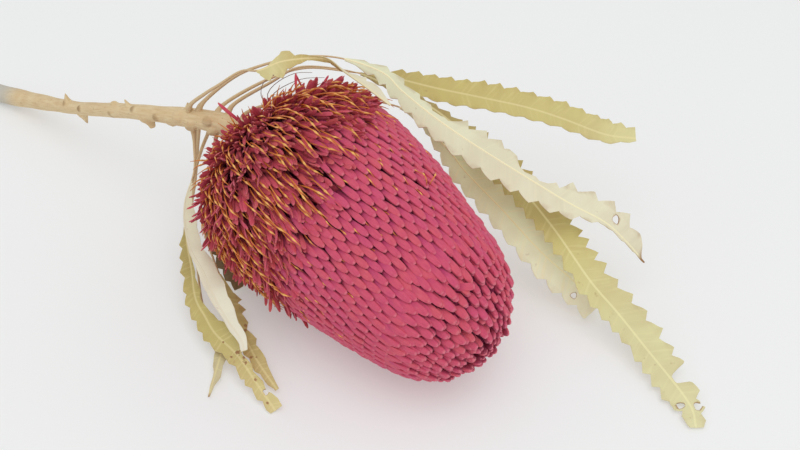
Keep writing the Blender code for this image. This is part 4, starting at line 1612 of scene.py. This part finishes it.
@dataclass
class Studio:
    """A pale, faintly glowing floor, soft light all round and a camera at the photograph's angle."""
    floor_half: float = 3.0
    floor: Colour = (0.62, 0.625, 0.62)
    glow: float = 0.275
    camera_place: Vector = Vector((0.020, -0.3402, 0.2955))
    camera_tilt: float = math.radians(52.0)
    lens: float = 60.0

    def build(self) -> None:
        """Set out the studio."""
        self.lay_floor()
        self.set_light()
        self.set_camera()

    def lay_floor(self) -> None:
        """Lay the floor under the head."""
        bm = bmesh.new()
        bmesh.ops.create_grid(bm, x_segments=4, y_segments=4, size=self.floor_half)
        mesh = bpy.data.meshes.new("floor")
        bm.to_mesh(mesh)
        bm.free()
        shade = Shader("floor_paper")
        tone = shade.noise(3.0, 2.0)
        colour = shade.ramp(tone, ((0.3, tuple(0.985 * c for c in self.floor)), (0.7, self.floor)))
        # The floor's white emission is painted light: it lifts the shadows on the floor and lights the head
        # from below.
        paper = shade.dress(colour, 0.9, Specular_IOR_Level=0.1, Emission_Strength=self.glow,
                            Emission_Color=(1.0, 1.0, 1.0, 1.0))
        mesh.materials.append(paper)
        floor = bpy.data.objects.new("floor", mesh)
        bpy.context.scene.collection.objects.link(floor)

    def set_light(self) -> None:
        """Light the room evenly, with a large soft lamp above."""
        world = bpy.data.worlds.new("room")
        world.use_nodes = True
        room = world.node_tree.nodes["Background"]
        room.inputs["Color"].default_value = (0.98, 0.99, 1.0, 1.0)
        room.inputs["Strength"].default_value = 0.74
        bpy.context.scene.world = world
        bpy.context.scene.view_settings.view_transform = "Standard"
        self.add_lamp("lamp_above", Vector((0.12, -0.55, 1.15)), 1.2, 5.0)

    def add_lamp(self, name: str, place: Vector, size: float, power: float) -> None:
        """Hang one square lamp that looks at the head.

        Args:
            name: the lamp's name.
            place: where it hangs, in metres.
            size: its side, in metres.
            power: its power in watts.
        """
        data = bpy.data.lights.new(name, "AREA")
        data.size = size
        data.energy = power
        lamp = bpy.data.objects.new(name, data)
        lamp.location = place
        lamp.rotation_euler = (Vector((0.0, 0.0, 0.03)) - place).to_track_quat("-Z", "Y").to_euler()
        bpy.context.scene.collection.objects.link(lamp)

    def set_camera(self) -> None:
        """Place the camera."""
        data = bpy.data.cameras.new("camera")
        data.lens = self.lens
        data.sensor_width = 36.0
        camera = bpy.data.objects.new("camera", data)
        camera.location = self.camera_place
        camera.rotation_euler = (self.camera_tilt, 0.0, 0.0)
        bpy.context.scene.collection.objects.link(camera)
        bpy.context.scene.camera = camera


def main() -> None:
    """Build every piece round the frame."""
    logging.basicConfig(level=logging.INFO, format="%(name)s: %(message)s")
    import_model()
    Studio().build()
    FlowerHead().build()
    Stem().build()
    for leaf in leaves():
        leaf.build()


if __name__ == "__main__":
    main()
